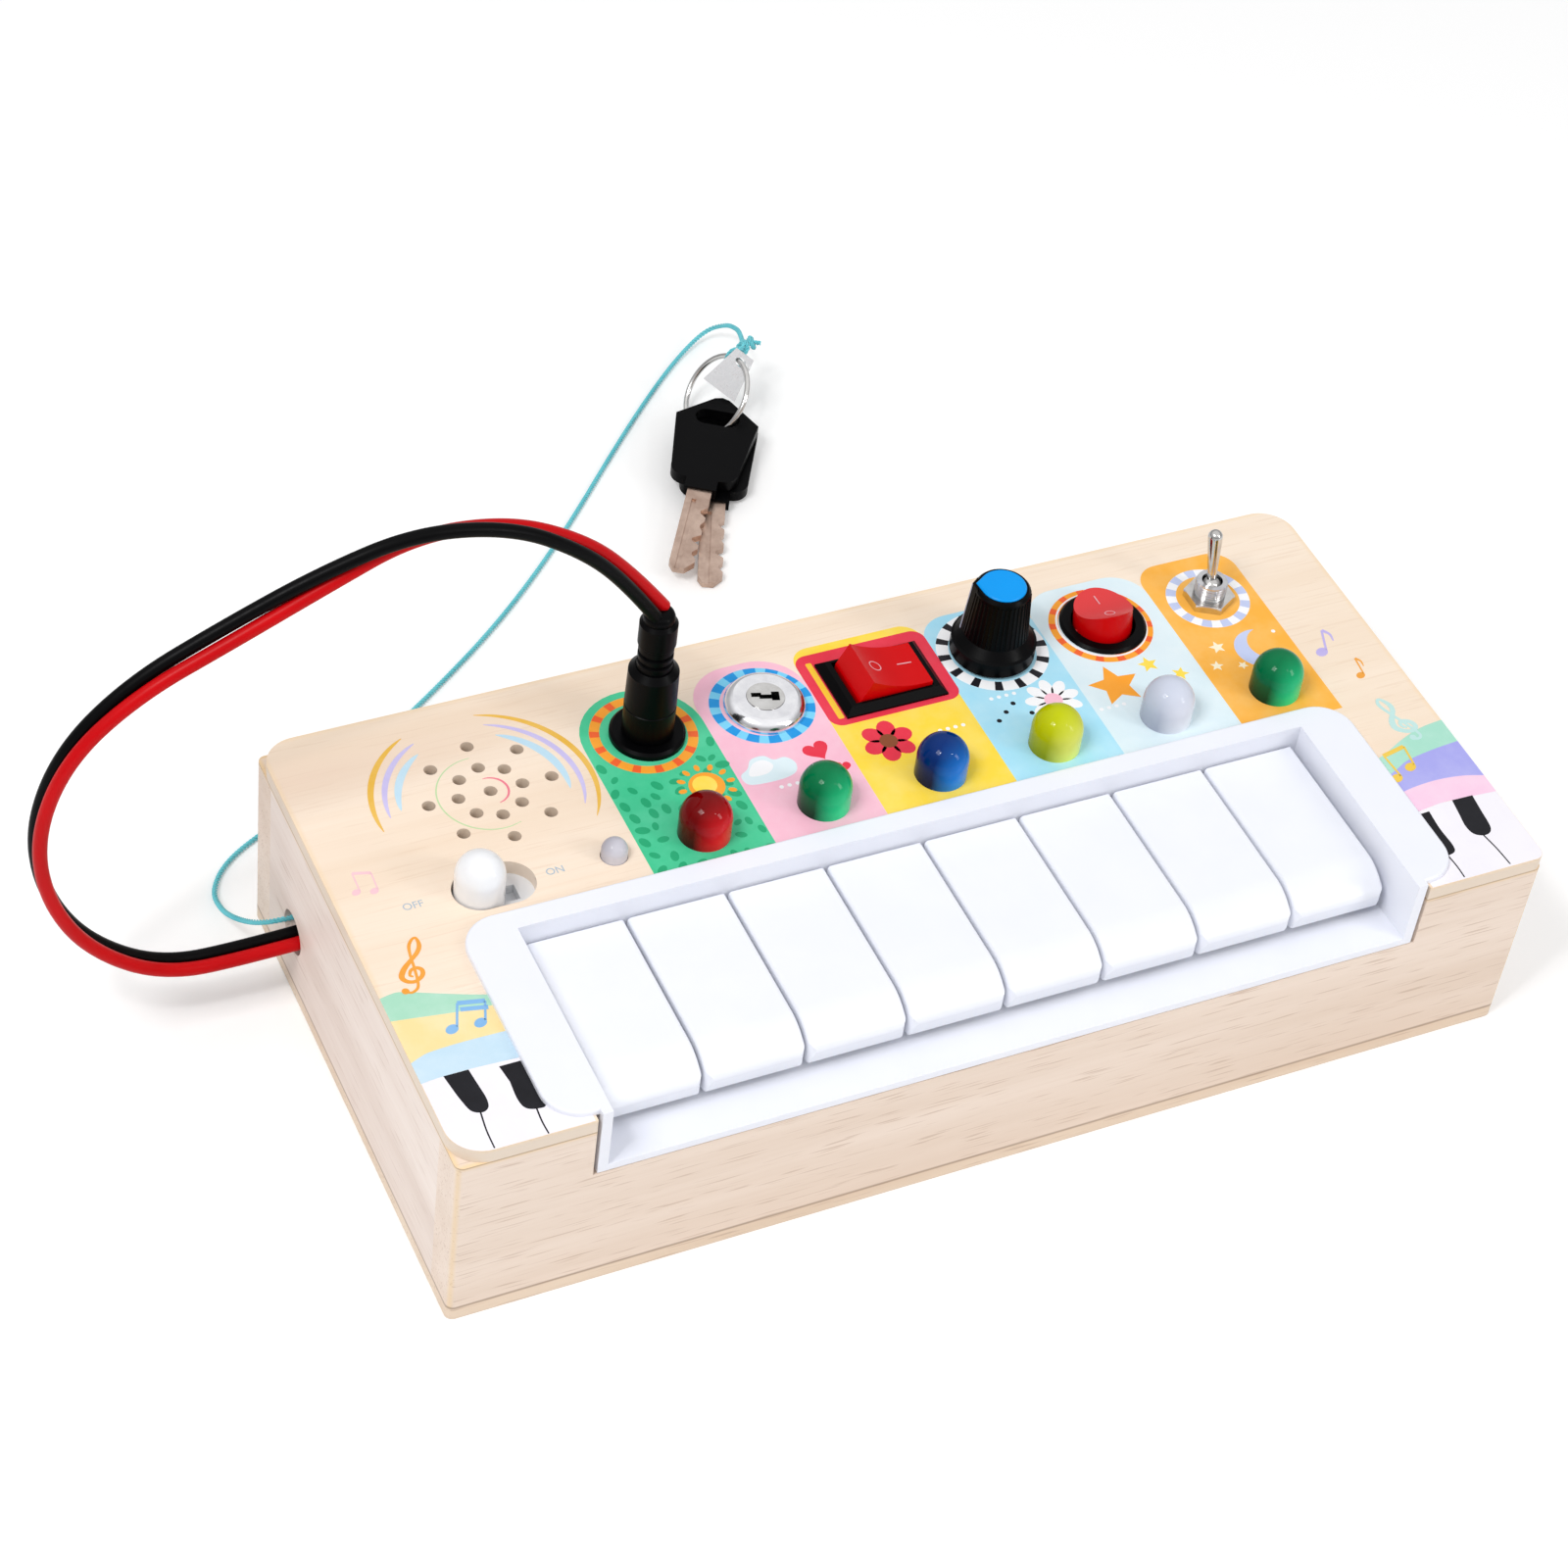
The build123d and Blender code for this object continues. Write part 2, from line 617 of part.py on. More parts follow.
def make_slide_switch():
    plate_low = UNDER - SLIDE_PLATE
    body_low = plate_low - SLIDE_BODY
    window = SLIDE_TRAVEL + SLIDE_STEM + 2 * LOOSE
    body = Pos(*SLOT, plate_low + SLIDE_PLATE / 2) * Box(SLOT_LENGTH + 7, SLOT_WIDTH + 4, SLIDE_PLATE)
    body += Pos(*SLOT, body_low + SLIDE_BODY / 2) * Box(SLOT_LENGTH + 1, SLOT_WIDTH - 1, SLIDE_BODY)
    well = SLIDE_STEM + 2 * LOOSE
    body -= block(SLOT[0] - window / 2, SLOT[0] + window / 2, SLOT[1] - well / 2, SLOT[1] + well / 2,
                  UNDER - SLIDE_WELL, TOP)
    save(body, "power_switch")
    foot = UNDER + LOOSE
    shoulder = TOP + SLIDE_CAP_STAND - SLIDE_CAP_RADIUS
    cap = post(SLIDE_REST, SLOT[1], foot, shoulder, SLIDE_CAP_RADIUS)
    cap += Pos(SLIDE_REST, SLOT[1], shoulder) * Sphere(SLIDE_CAP_RADIUS)
    stem = SLIDE_STEM / 2
    cap += block(SLIDE_REST - stem, SLIDE_REST + stem, SLOT[1] - stem, SLOT[1] + stem,
                 UNDER - SLIDE_WELL + LOOSE, shoulder)
    save(cap, "power_knob")


def make_socket_and_plug():
    seat = TOP + SOCKET_FLANGE
    low = TOP - SOCKET_DEPTH
    well = seat - PLUG_TIP_LENGTH - 1.0
    bore = PLUG_TIP_RADIUS + RUNNING
    socket = turned(SOCKET_X, CONTROL_Y, [
        (0, low),
        (SOCKET_BARREL, low),
        (SOCKET_BARREL, TOP),
        (SOCKET_FLANGE_RADIUS, TOP),
        (SOCKET_FLANGE_RADIUS, seat - 0.5),
        (SOCKET_FLANGE_RADIUS - 0.5, seat),
        (bore, seat),
        (bore, well),
        (SOCKET_PIN, well),
        (SOCKET_PIN, seat - 2.0),
        (0, seat - 2.0),
    ])
    save(socket, "dc_jack")
    collar = seat + PLUG_BODY
    relief = collar + PLUG_NECK
    top = relief + PLUG_RELIEF
    seam = seat + PLUG_BODY * 0.42
    neck = PLUG_NECK_RADIUS
    dip = neck - PLUG_GROOVE
    plug = turned(SOCKET_X, CONTROL_Y, [
        (0, seat),
        (PLUG_RADIUS - 0.4, seat),
        (PLUG_RADIUS, seat + 0.4),
        (PLUG_RADIUS, seam - 0.2),
        (PLUG_RADIUS - 0.25, seam),
        (PLUG_RADIUS, seam + 0.2),
        (PLUG_RADIUS - 0.15, collar - 1.2),
        (PLUG_RADIUS - 1.3, collar),
        (neck, collar),
        (neck, collar + 1.3),
        (dip, collar + 1.5),
        (dip, collar + 2.1),
        (neck, collar + 2.3),
        (neck, collar + 3.2),
        (dip, collar + 3.4),
        (dip, collar + 4.0),
        (neck, collar + 4.2),
        (neck, relief),
        (PLUG_RELIEF_RADIUS, relief + 0.3),
        (PLUG_RELIEF_RADIUS, top - 1.0),
        (PLUG_RELIEF_RADIUS - 0.9, top),
        (0, top),
    ])
    hold = 3.0
    plug -= post(SOCKET_X, CONTROL_Y, seat - 1, seat + hold, PLUG_TIP_RADIUS)
    save(plug, "dc_plug")
    tip = turned(SOCKET_X, CONTROL_Y, [
        (PLUG_TIP_BORE, seat - PLUG_TIP_LENGTH),
        (PLUG_TIP_RADIUS - 0.3, seat - PLUG_TIP_LENGTH),
        (PLUG_TIP_RADIUS, seat - PLUG_TIP_LENGTH + 0.3),
        (PLUG_TIP_RADIUS, seat + hold),
        (PLUG_TIP_BORE, seat + hold),
    ])
    save(tip, "dc_plug_tip")
    return nut(SOCKET_X, CONTROL_Y, UNDER - BIG_NUT_HEIGHT, BIG_NUT, BIG_NUT_HEIGHT, SOCKET_BARREL)


def make_lock():
    face = TOP + LOCK_STAND
    low = TOP - LOCK_DEPTH
    bore = CORE_RADIUS + RUNNING
    section = Polyline(
        (bore, face),
        (bore, low),
        (LOCK_BARREL, low),
        (LOCK_BARREL, TOP),
        (LOCK_RADIUS, TOP),
        (LOCK_RADIUS, TOP + 0.5),
    )
    section += RadiusArc((LOCK_RADIUS, TOP + 0.5), (LOCK_FACE_RADIUS, face), -LOCK_DOME)
    section += Line((LOCK_FACE_RADIUS, face), (bore, face))
    housing = Pos(LOCK_X, CONTROL_Y, 0) * revolve(Plane.XZ * make_face(section), Axis.Z)
    save(housing, "lock_housing")
    top = face + CORE_STAND
    core = post(LOCK_X, CONTROL_Y, low + 0.5, top, CORE_RADIUS)
    # A stepped keyway: two offset strokes and the wider end that takes the blade's spine
    keyway = Pos(-1.75, 0.35) * Rectangle(1.9, 1.1)
    keyway += Pos(0, -0.15) * Rectangle(2.4, 1.1)
    keyway += Pos(1.85, 0) * Rectangle(1.5, 2.3)
    keyway = Rot(0, 0, KEYWAY_TURN) * keyway
    core -= Pos(LOCK_X, CONTROL_Y, top - KEYWAY_DEPTH) * extrude(keyway, KEYWAY_DEPTH + 1)
    save(core, "lock_core")
    return nut(LOCK_X, CONTROL_Y, UNDER - BIG_NUT_HEIGHT, BIG_NUT, BIG_NUT_HEIGHT, LOCK_BARREL)


def make_rocker():
    x, y = ROCKER
    pivot = TOP - ROCKER_PIVOT
    rim = Pos(x, y, TOP) * extrude(Rectangle(ROCKER_LENGTH, ROCKER_WIDTH), ROCKER_RIM)
    rim = chamfer(rim.faces().sort_by(Axis.Z)[-1].edges(), ROCKER_BEVEL)
    shell_x = ROCKER_LENGTH / 2 - ROCKER_STEP
    shell_y = ROCKER_WIDTH / 2 - ROCKER_STEP
    rim += block(x - shell_x, x + shell_x, y - shell_y, y + shell_y, TOP - ROCKER_DEPTH, TOP)
    well_x = shell_x - ROCKER_WALL_X
    well_y = shell_y - ROCKER_WALL_Y
    rim -= block(x - well_x, x + well_x, y - well_y, y + well_y, TOP - ROCKER_DEPTH + 2, TOP + 9)
    hole = Cylinder(PIN_RADIUS + RUNNING, 2 * (well_y + PIN_BITE + HOLE_GAP))
    rim -= Pos(x, y, pivot) * Rot(90, 0, 0) * hole
    for side in (-1, 1):
        rim += Pos(x + side * 5, y, TOP - ROCKER_DEPTH - 3) * Box(0.8, 4.8, 6)
    save(rim, "rocker_bezel")

    # The paddle in its level position, then tipped with its left end up
    outline = Polyline(
        (PADDLE_HALF_TOP, PADDLE_TOP),
        (PADDLE_HALF, 1.0),
        (PADDLE_HALF - 0.8, -PADDLE_FOOT),
        (-PADDLE_HALF + 0.8, -PADDLE_FOOT),
        (-PADDLE_HALF, 1.0),
        (-PADDLE_HALF_TOP, PADDLE_TOP),
    )
    hollow = ThreePointArc(
        (-PADDLE_HALF_TOP, PADDLE_TOP), (0, PADDLE_TOP - PADDLE_HOLLOW), (PADDLE_HALF_TOP, PADDLE_TOP)
    )
    side = Plane.XZ * make_face(outline + hollow)
    paddle = Pos(0, PADDLE_HALF_WIDTH, 0) * extrude(side, 2 * PADDLE_HALF_WIDTH)
    pin = Rot(90, 0, 0) * Cylinder(PIN_RADIUS, 2 * (well_y + PIN_BITE))
    paddle = Pos(x, y, pivot) * Rot(0, ROCKER_TILT, 0) * (paddle + pin)
    save(paddle, "rocker_paddle")


def make_round_rocker():
    pivot = TOP - ROUND_PIVOT
    rim_top = TOP + ROUND_RIM
    low = TOP - ROUND_DEPTH
    housing = turned(ROUND_X, CONTROL_Y, [
        (0, low),
        (ROUND_BARREL, low),
        (ROUND_BARREL, TOP),
        (ROUND_RADIUS, TOP),
        (ROUND_RADIUS, TOP + 0.3),
        (ROUND_RADIUS - 0.5, rim_top),
        (ROUND_OPENING, rim_top),
        (ROUND_OPENING, low + 2.0),
        (0, low + 2.0),
    ])
    reach = ROUND_OPENING + PIN_BITE
    housing -= bar(ROUND_X - reach - HOLE_GAP, ROUND_X + reach + HOLE_GAP, CONTROL_Y, pivot,
                   PIN_RADIUS - 0.35 + RUNNING)
    for side in (-1, 1):
        housing += Pos(ROUND_X, CONTROL_Y + side * 4, low - 3) * Box(4.8, 0.8, 6)
    save(housing, "round_rocker_bezel")

    # Level paddle: a round button with a saddle top over a ball-shaped foot, tipped front up
    button = Pos(0, 0, ROUND_RISE / 2) * Cylinder(ROUND_PADDLE, ROUND_RISE)
    foot = Sphere(ROUND_PADDLE) & Pos(0, 0, -1.75) * Box(14, 14, 3.5)
    scoop_radius = (ROUND_PADDLE ** 2 + ROUND_HOLLOW ** 2) / (2 * ROUND_HOLLOW)
    scoop = Pos(0, 0, ROUND_RISE - ROUND_HOLLOW + scoop_radius) * Rot(0, 90, 0) * Cylinder(scoop_radius, 20)
    paddle = button + foot - scoop
    paddle += bar(-reach, reach, 0, 0, PIN_RADIUS - 0.35)
    paddle = Pos(ROUND_X, CONTROL_Y, pivot) * Rot(-ROUND_TILT, 0, 0) * paddle
    save(paddle, "round_rocker_paddle")


def cap_outline(gap):
    # A disc with one corner towards the pointer
    radius = CAP_RADIUS - gap
    point = CAP_POINT - gap
    along = radius ** 2 / point
    across = radius * math.sqrt(1 - (radius / point) ** 2)
    corner = make_face(Polyline((0, 0), (along, across), (point, 0), (along, -across), close=True))
    return Circle(radius) + corner


def ridge_section(tip):
    base = tip - RIDGE_RUN
    return make_face(Polyline((base, -RIDGE_HALF), (tip, 0), (base, RIDGE_HALF), close=True))


def make_rotary_control():
    low = UNDER - POT_DEPTH
    bush = TOP + BUSH_TOP
    pot = turned(POT_X, CONTROL_Y, [
        (0, low),
        (POT_RADIUS, low),
        (POT_RADIUS, UNDER),
        (BUSH_RADIUS, UNDER),
        (BUSH_RADIUS, bush),
        (SHAFT_RADIUS + RUNNING, bush),
        (SHAFT_RADIUS + RUNNING, low + 2.0),
        (0, low + 2.0),
    ])
    pot += Pos(POT_X, CONTROL_Y - POT_RADIUS - 1.0, low + 1.0) * Box(12, 5, 1.2)
    save(pot, "pot_body")
    knob_top = TOP + KNOB_TOP
    sink = knob_top - CAP_SINK
    shaft_top = sink - 2.0
    place = Pos(POT_X, CONTROL_Y, 0) * Rot(0, 0, POINTER_AZIMUTH)
    save(place * post(0, 0, low + 2.0 + LOOSE, shaft_top, SHAFT_RADIUS), "pot_shaft")
    foot = TOP + KNOB_CLEAR
    inside = TOP + BUSH_TOP + 0.6
    cavity = POT_NUT / math.sqrt(3) + 0.5
    waist = foot + KNOB_SKIRT_HEIGHT + KNOB_CONE
    knob = turned(0, 0, [
        (cavity, foot),
        (KNOB_SKIRT, foot),
        (KNOB_SKIRT, foot + KNOB_SKIRT_HEIGHT),
        (KNOB_SKIRT - 0.5, foot + KNOB_SKIRT_HEIGHT + 0.3),
        (KNOB_WAIST, waist),
        (KNOB_CROWN, knob_top - 0.5),
        (KNOB_CROWN - 0.4, knob_top),
        (0, knob_top),
        (0, shaft_top),
        (SHAFT_RADIUS, shaft_top),
        (SHAFT_RADIUS, inside),
        (cavity, foot + 2.4),
    ])
    # The pointer is a ridge down the barrel, and the cap comes to a corner over it
    knob += loft([
        Pos(0, 0, waist - 0.5) * ridge_section(KNOB_WAIST + RIDGE_PROUD),
        Pos(0, 0, knob_top) * ridge_section(KNOB_CROWN + RIDGE_PROUD),
    ])
    knob -= Pos(0, 0, sink) * extrude(cap_outline(0), CAP_SINK + 1)
    save(place * knob, "volume_knob")
    cap = Pos(0, 0, sink) * extrude(cap_outline(RUNNING), CAP_SINK + CAP_RISE)
    cap = chamfer(cap.edges().group_by(Axis.Z)[-1], 0.25)
    save(place * cap, "knob_cap")
    return nut(POT_X, CONTROL_Y, TOP, POT_NUT, POT_NUT_HEIGHT, BUSH_RADIUS)


def make_toggle():
    bush = TOP + TOGGLE_BUSH_TOP
    pivot = TOP + TOGGLE_PIVOT
    seat = pivot - TOGGLE_BALL - LOOSE
    low = UNDER - TOGGLE_DEPTH
    body = Box(TOGGLE_WIDTH, TOGGLE_LENGTH, TOGGLE_DEPTH)
    body = Pos(TOGGLE_X, CONTROL_Y, UNDER - TOGGLE_DEPTH / 2) * body
    body += post(TOGGLE_X, CONTROL_Y, UNDER, bush, TOGGLE_BUSH)
    body -= post(TOGGLE_X, CONTROL_Y, seat, bush + 1, TOGGLE_BORE)
    for side in (-1, 0, 1):
        body += Pos(TOGGLE_X, CONTROL_Y + side * 4.7, low - 2) * Box(2.0, 0.8, 4)
    save(body, "toggle_body")
    save(nut(TOGGLE_X, CONTROL_Y, TOP, TOGGLE_NUT, TOGGLE_NUT_HEIGHT, TOGGLE_BUSH), "toggle_nut")
    # The lever swells towards a rounded tip and turns on a ball in the bush
    swell = TOGGLE_LEVER - 1.5
    lever = Sphere(TOGGLE_BALL)
    stick = revolve(
        Plane.XZ * make_face(Polyline(
            (0, 0), (TOGGLE_NECK, 0), (TOGGLE_NECK, 2.6), (TOGGLE_TIP, swell), (0, swell), close=True)),
        Axis.Z,
    )
    lever += stick
    lever += Pos(0, 0, swell) * Sphere(TOGGLE_TIP)
    lever = Pos(TOGGLE_X, CONTROL_Y, pivot) * Rot(-TOGGLE_TILT, 0, 0) * lever
    save(lever, "toggle_lever")


# ---- Wires, cord and loose keys ----

def route(points, name, limit):
    # Straight runs joined by arcs, each as large as its two runs allow
    places = [Vector(*point) for point in points]
    radii = []
    for before, here, after in zip(places, places[1:], places[2:]):
        arriving = here - before
        leaving = after - here
        half_turn = math.radians(arriving.get_angle(leaving)) / 2
        radii.append(0.45 * min(arriving.length, leaving.length) / math.tan(half_turn))
    print(name, "radii", [round(radius, 1) for radius in radii], "smallest allowed", limit)
    return FilletPolyline(*places, radius=radii)


def tube(points, radius, name, limit):
    path = route(points, name, limit)
    start = Plane(origin=path @ 0, z_dir=path % 0)
    solid = sweep(start * Circle(radius), path=path)
    section = math.pi * radius ** 2
    ratio = solid.volume / section / path.length
    print(name, "length", round(path.length, 1), "volume ratio", round(ratio, 4))
    return solid


PLUG_TOP = TOP + SOCKET_FLANGE + PLUG_BODY + PLUG_NECK + PLUG_RELIEF

BLACK_WIRE = [
    (-98.0, 30.1, 15.6), (-115.0, 30.0, 15.0), (-132.0, 30.2, 15.6), (-145.6, 30.5, 26.8),
    (-152.8, 30.7, 42.0), (-154.0, 31.0, 58.5), (-148.0, 31.2, 74.6), (-135.8, 31.3, 86.4),
    (-119.9, 31.2, 94.4), (-103.3, 30.7, 102.2), (-86.5, 29.8, 107.7), (-69.0, 29.6, 104.4),
    (-55.6, 29.7, 95.2), (-46.6, 29.9, 85.2), (-39.9, 30.3, 74.7),
]
RED_WIRE = [
    (-98.0, 27.4, 15.6), (-115.0, 27.3, 15.0), (-132.0, 27.5, 15.6), (-145.6, 27.8, 26.8),
    (-152.8, 28.0, 42.0), (-154.0, 28.3, 58.5), (-148.0, 28.5, 74.6), (-135.4, 28.7, 85.7),
    (-119.2, 29.1, 92.7), (-102.4, 30.1, 99.6), (-85.9, 31.6, 105.5), (-68.3, 32.4, 103.1),
    (-53.7, 32.6, 94.5), (-44.1, 32.6, 84.2), (-37.4, 32.3, 74.7),
]
KEY_CORD = [
    (-98.0, 33.4, 15.6), (-107.5, 33.6, 15.4), (-111.6, 37.4, 12.0), (-113.4, 43.8, 7.4),
    (-113.8, 50.6, 3.0), (-113.2, 57.6, 0.7), (-108.0, 64.4, 0.6), (-97.0, 70.2, 0.6),
    (-80.0, 78.6, 0.6), (-57.5, 93.0, 0.6), (-34.5, 110.0, 0.6), (-12.8, 130.0, 0.6),
    (12.0, 156.5, 0.6), (26.5, 170.8, 0.6), (36.0, 179.0, 0.8), (43.4, 182.9, 2.6),
    (46.3, 179.4, 6.0), (45.6, 173.6, 9.6), (44.2, 168.6, 12.5), (42.6, 164.2, 14.0),
]


def make_wires():
    # Five diameters in the springy wires, three in the limp cord
    save(tube(BLACK_WIRE, WIRE_RADIUS, "black_wire", 10 * WIRE_RADIUS), "black_wire")
    save(tube(RED_WIRE, WIRE_RADIUS, "red_wire", 10 * WIRE_RADIUS), "red_wire")
    save(tube(KEY_CORD, CORD_RADIUS, "key_cord", 6 * CORD_RADIUS), "key_cord")


def key_bow():
    # Peaked head, shoulders, narrowing to the hips with a hollow on each side of the foot
    hip = (BOW_WAIST, -BOW_HIP)
    ankle = (BOW_FOOT, -BOW_ANKLE)
    right = Polyline((0, 0), (1.6, -0.5), (BOW_HALF, -BOW_SHOULDER), hip)
    right += RadiusArc(hip, ankle, 3.4)
    right += Polyline(ankle, (BOW_FOOT, -BOW_LENGTH), (0, -BOW_LENGTH))
    left = right.mirror(Plane.YZ)
    outline = make_face(right.edges() + left.edges())
    outline -= Pos(0, -RING_SLOT_INSET) * SlotOverall(RING_SLOT_LENGTH, RING_SLOT_WIDTH)
    return extrude(outline, BOW_THICKNESS)


def key_blade():
    # A flat blade with a groove along it and cuts along one edge, ending in a blunt point
    half = BLADE_WIDTH / 2
    start = -BOW_LENGTH
    end = start - BLADE_LENGTH
    edge = [(-half, start), (half, start)]
    for cut, depth in enumerate((1.3, 0.7, 1.7, 1.0)):
        y = start - 5.0 - 4.2 * cut
        edge += [(half, y), (half - depth, y - 1.2), (half - depth, y - 1.9), (half, y - 3.1)]
    edge += [(half, end + 2.2), (half - 1.8, end), (-half + 1.0, end), (-half, end + 1.6)]
    blade = extrude(make_face(Polyline(*edge, close=True)), BLADE_THICKNESS)
    groove = block(-1.2, -0.2, end - 1, start - 3.0, BLADE_THICKNESS - 0.5, BLADE_THICKNESS + 1)
    return Pos(0, 0, (BOW_THICKNESS - BLADE_THICKNESS) / 2) * (blade - groove)


# The slots of both keys, the middle of the tilted ring, and where the tag and the cord hold it
RING_SPOT = (30.8, 149.0)
BOW_LIFT = 1.9
KEY_SLOPE = 2.85
LOW_KEY = Pos(*RING_SPOT, BOW_LIFT) * Rot(0, 0, -25.0) * Rot(KEY_SLOPE, 0, 0)
HIGH_KEY = Pos(*RING_SPOT, BOW_LIFT + BOW_THICKNESS + LOOSE) * Rot(0, 0, -33.0) * Rot(KEY_SLOPE, 0, 0)
RING_LIFT = RING_RADIUS * math.sin(math.radians(RING_TILT)) + RING_WIRE + 0.05
RING_FRAME = Pos(RING_SPOT[0] + 2.5, RING_SPOT[1] + 6.5, RING_LIFT) * Rot(0, -RING_TILT, 0)
KNOT_ANGLE = 30.0
KNOT_WAY = (0.914, 0.406, 0)
TAG_ANGLE = 8.0


def make_loose_keys():
    hang = Pos(0, RING_SLOT_INSET, 0)
    bow = hang * key_bow()
    blade = hang * key_blade()
    save(Compound(children=[LOW_KEY * bow, HIGH_KEY * bow]), "key_bows")
    save(Compound(children=[LOW_KEY * blade, HIGH_KEY * blade]), "key_blades")


def make_key_ring():
    save(RING_FRAME * Torus(RING_RADIUS, RING_WIRE), "split_ring")
    hold = RING_FRAME * Rot(0, 0, KNOT_ANGLE) * Pos(RING_RADIUS, 0, 0)
    lump = [(0, 1.0), (0.9, 1.2), (1.5, 2.4), (1.2, 3.6), (1.7, 4.8), (1.8, 6.2), (1.3, 7.4), (0, 8.2)]
    knot = Plane(origin=hold.position, x_dir=(0, 0, 1), z_dir=KNOT_WAY) * turned(0, 0, lump)
    # The loop's own seam is turned away from the lump
    knot += hold * Rot(90, 0, 0) * Rot(0, 0, 180) * Torus(1.35, 0.5)
    save(knot, "cord_knot")
    # The tag hangs from the upper side of the ring, down to the heads of the keys
    tag = make_face(Polyline(
        (-TAG_HALF_TOP, 2.0), (TAG_HALF_TOP, 2.0), (TAG_HALF, -TAG_LENGTH), (-TAG_HALF, -TAG_LENGTH),
        close=True,
    ))
    tag = extrude(tag, TAG_THICKNESS / 2, both=True)
    hold = (RING_FRAME * Rot(0, 0, TAG_ANGLE) * Pos(RING_RADIUS, 0, 0)).position
    tag = Plane(origin=hold, x_dir=(0.588, -0.732, -0.343), z_dir=(-0.496, -0.662, 0.562)) * tag
    save(tag - RING_FRAME * Torus(RING_RADIUS, RING_WIRE + LOOSE), "key_tag")


make_lid()
make_walls()
make_base()
make_battery_bay()
make_circuit_board()
make_keyboard_frame()
make_keys()
make_lamps()
make_speaker()
make_slide_switch()
socket_nut = make_socket_and_plug()
lock_nut = make_lock()
make_rocker()
make_round_rocker()
pot_nut = make_rotary_control()
save(Compound(children=[socket_nut, lock_nut, pot_nut]), "panel_nuts")
make_toggle()
make_wires()
make_loose_keys()
make_key_ring()
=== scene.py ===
import json
import math

import bmesh
import bpy
from mathutils import Matrix, Vector


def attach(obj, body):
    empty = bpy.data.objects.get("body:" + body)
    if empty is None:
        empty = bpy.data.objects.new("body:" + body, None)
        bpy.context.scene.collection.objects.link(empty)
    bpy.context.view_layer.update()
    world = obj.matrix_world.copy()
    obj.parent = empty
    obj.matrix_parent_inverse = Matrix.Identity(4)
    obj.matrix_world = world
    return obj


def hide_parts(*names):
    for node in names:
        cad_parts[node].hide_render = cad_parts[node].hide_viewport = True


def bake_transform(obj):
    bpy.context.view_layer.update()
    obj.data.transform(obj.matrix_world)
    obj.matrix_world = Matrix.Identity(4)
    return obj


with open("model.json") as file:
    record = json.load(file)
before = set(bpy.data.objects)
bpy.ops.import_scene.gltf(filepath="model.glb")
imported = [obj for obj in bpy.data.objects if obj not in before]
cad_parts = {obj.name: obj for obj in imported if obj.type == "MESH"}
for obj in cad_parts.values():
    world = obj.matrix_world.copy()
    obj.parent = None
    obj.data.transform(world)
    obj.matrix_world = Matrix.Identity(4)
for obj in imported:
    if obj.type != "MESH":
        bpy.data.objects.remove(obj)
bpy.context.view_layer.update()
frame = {"nodes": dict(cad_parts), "record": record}
nodes = frame["nodes"]
scene = bpy.context.scene
scene.view_settings.view_transform = "Standard"
print("busy board loaded:", len(nodes), "nodes")

mm = 0.001
lidTop = 44.0

# Where the camera stands, its three directions and its lens
shot = {
    "place": (-0.271076, -0.420316, 0.541788),
    "right": (0.90653, -0.40950, 0.10252),
    "down": (-0.22630, -0.67644, -0.70087),
    "forward": (0.35636, 0.61216, -0.70588),
    "lens": 88.84,
    "sensor": 36.0,
    "nearest": 0.05,
}


def makeCamera():
    data = bpy.data.cameras.new("viewCamera")
    data.sensor_width = shot["sensor"]
    data.lens = shot["lens"]
    data.clip_start = shot["nearest"]
    camera = bpy.data.objects.new("viewCamera", data)
    turn = Matrix((shot["right"], -Vector(shot["down"]), -Vector(shot["forward"]))).transposed()
    camera.matrix_world = Matrix.Translation(shot["place"]) @ turn.to_4x4()
    scene.collection.objects.link(camera)
    scene.camera = camera


makeCamera()


def tint(code):
    # A colour written as six hexadecimal digits
    levels = [int(code[place:place + 2], 16) / 255 for place in (0, 2, 4)]
    return (*[level / 12.92 if level <= 0.04045 else ((level + 0.055) / 1.055) ** 2.4 for level in levels], 1.0)


def addNode(tree, kind, values=None, **options):
    # Each value is a socket to link, a plain value or a colour's six digits
    node = tree.nodes.new(kind)
    for name, value in options.items():
        setattr(node, name, value)
    for key, value in (values or {}).items():
        if isinstance(value, bpy.types.NodeSocket):
            tree.links.new(value, node.inputs[key])
        else:
            node.inputs[key].default_value = tint(value) if isinstance(value, str) else value
    return node


def feed(tree, kind, values=None, **options):
    # A new node's first output
    return addNode(tree, kind, values, **options).outputs[0]


def calc(tree, operation, *values):
    return feed(tree, "ShaderNodeMath", dict(enumerate(values)), operation=operation)


def times(tree, first, second):
    return calc(tree, "MULTIPLY", first, second)


def plus(tree, first, second):
    return calc(tree, "ADD", first, second)


def minus(tree, first, second):
    return calc(tree, "SUBTRACT", first, second)


def split(tree, vector):
    return addNode(tree, "ShaderNodeSeparateXYZ", {"Vector": vector}).outputs


def join(tree, **parts):
    # A vector from the parts given, the others being 0
    return feed(tree, "ShaderNodeCombineXYZ", parts)


def spread(tree, value, low, high, toLow=0.0, toHigh=1.0):
    # A value between low and high becomes one between toLow and toHigh, and stops there
    return feed(tree, "ShaderNodeMapRange", {"Value": value, "From Min": low, "From Max": high, "To Min": toLow,
                                             "To Max": toHigh})


def vary(tree, factor, first, second):
    return addNode(tree, "ShaderNodeMix", {0: factor, 6: first, 7: second}, data_type="RGBA").outputs[2]


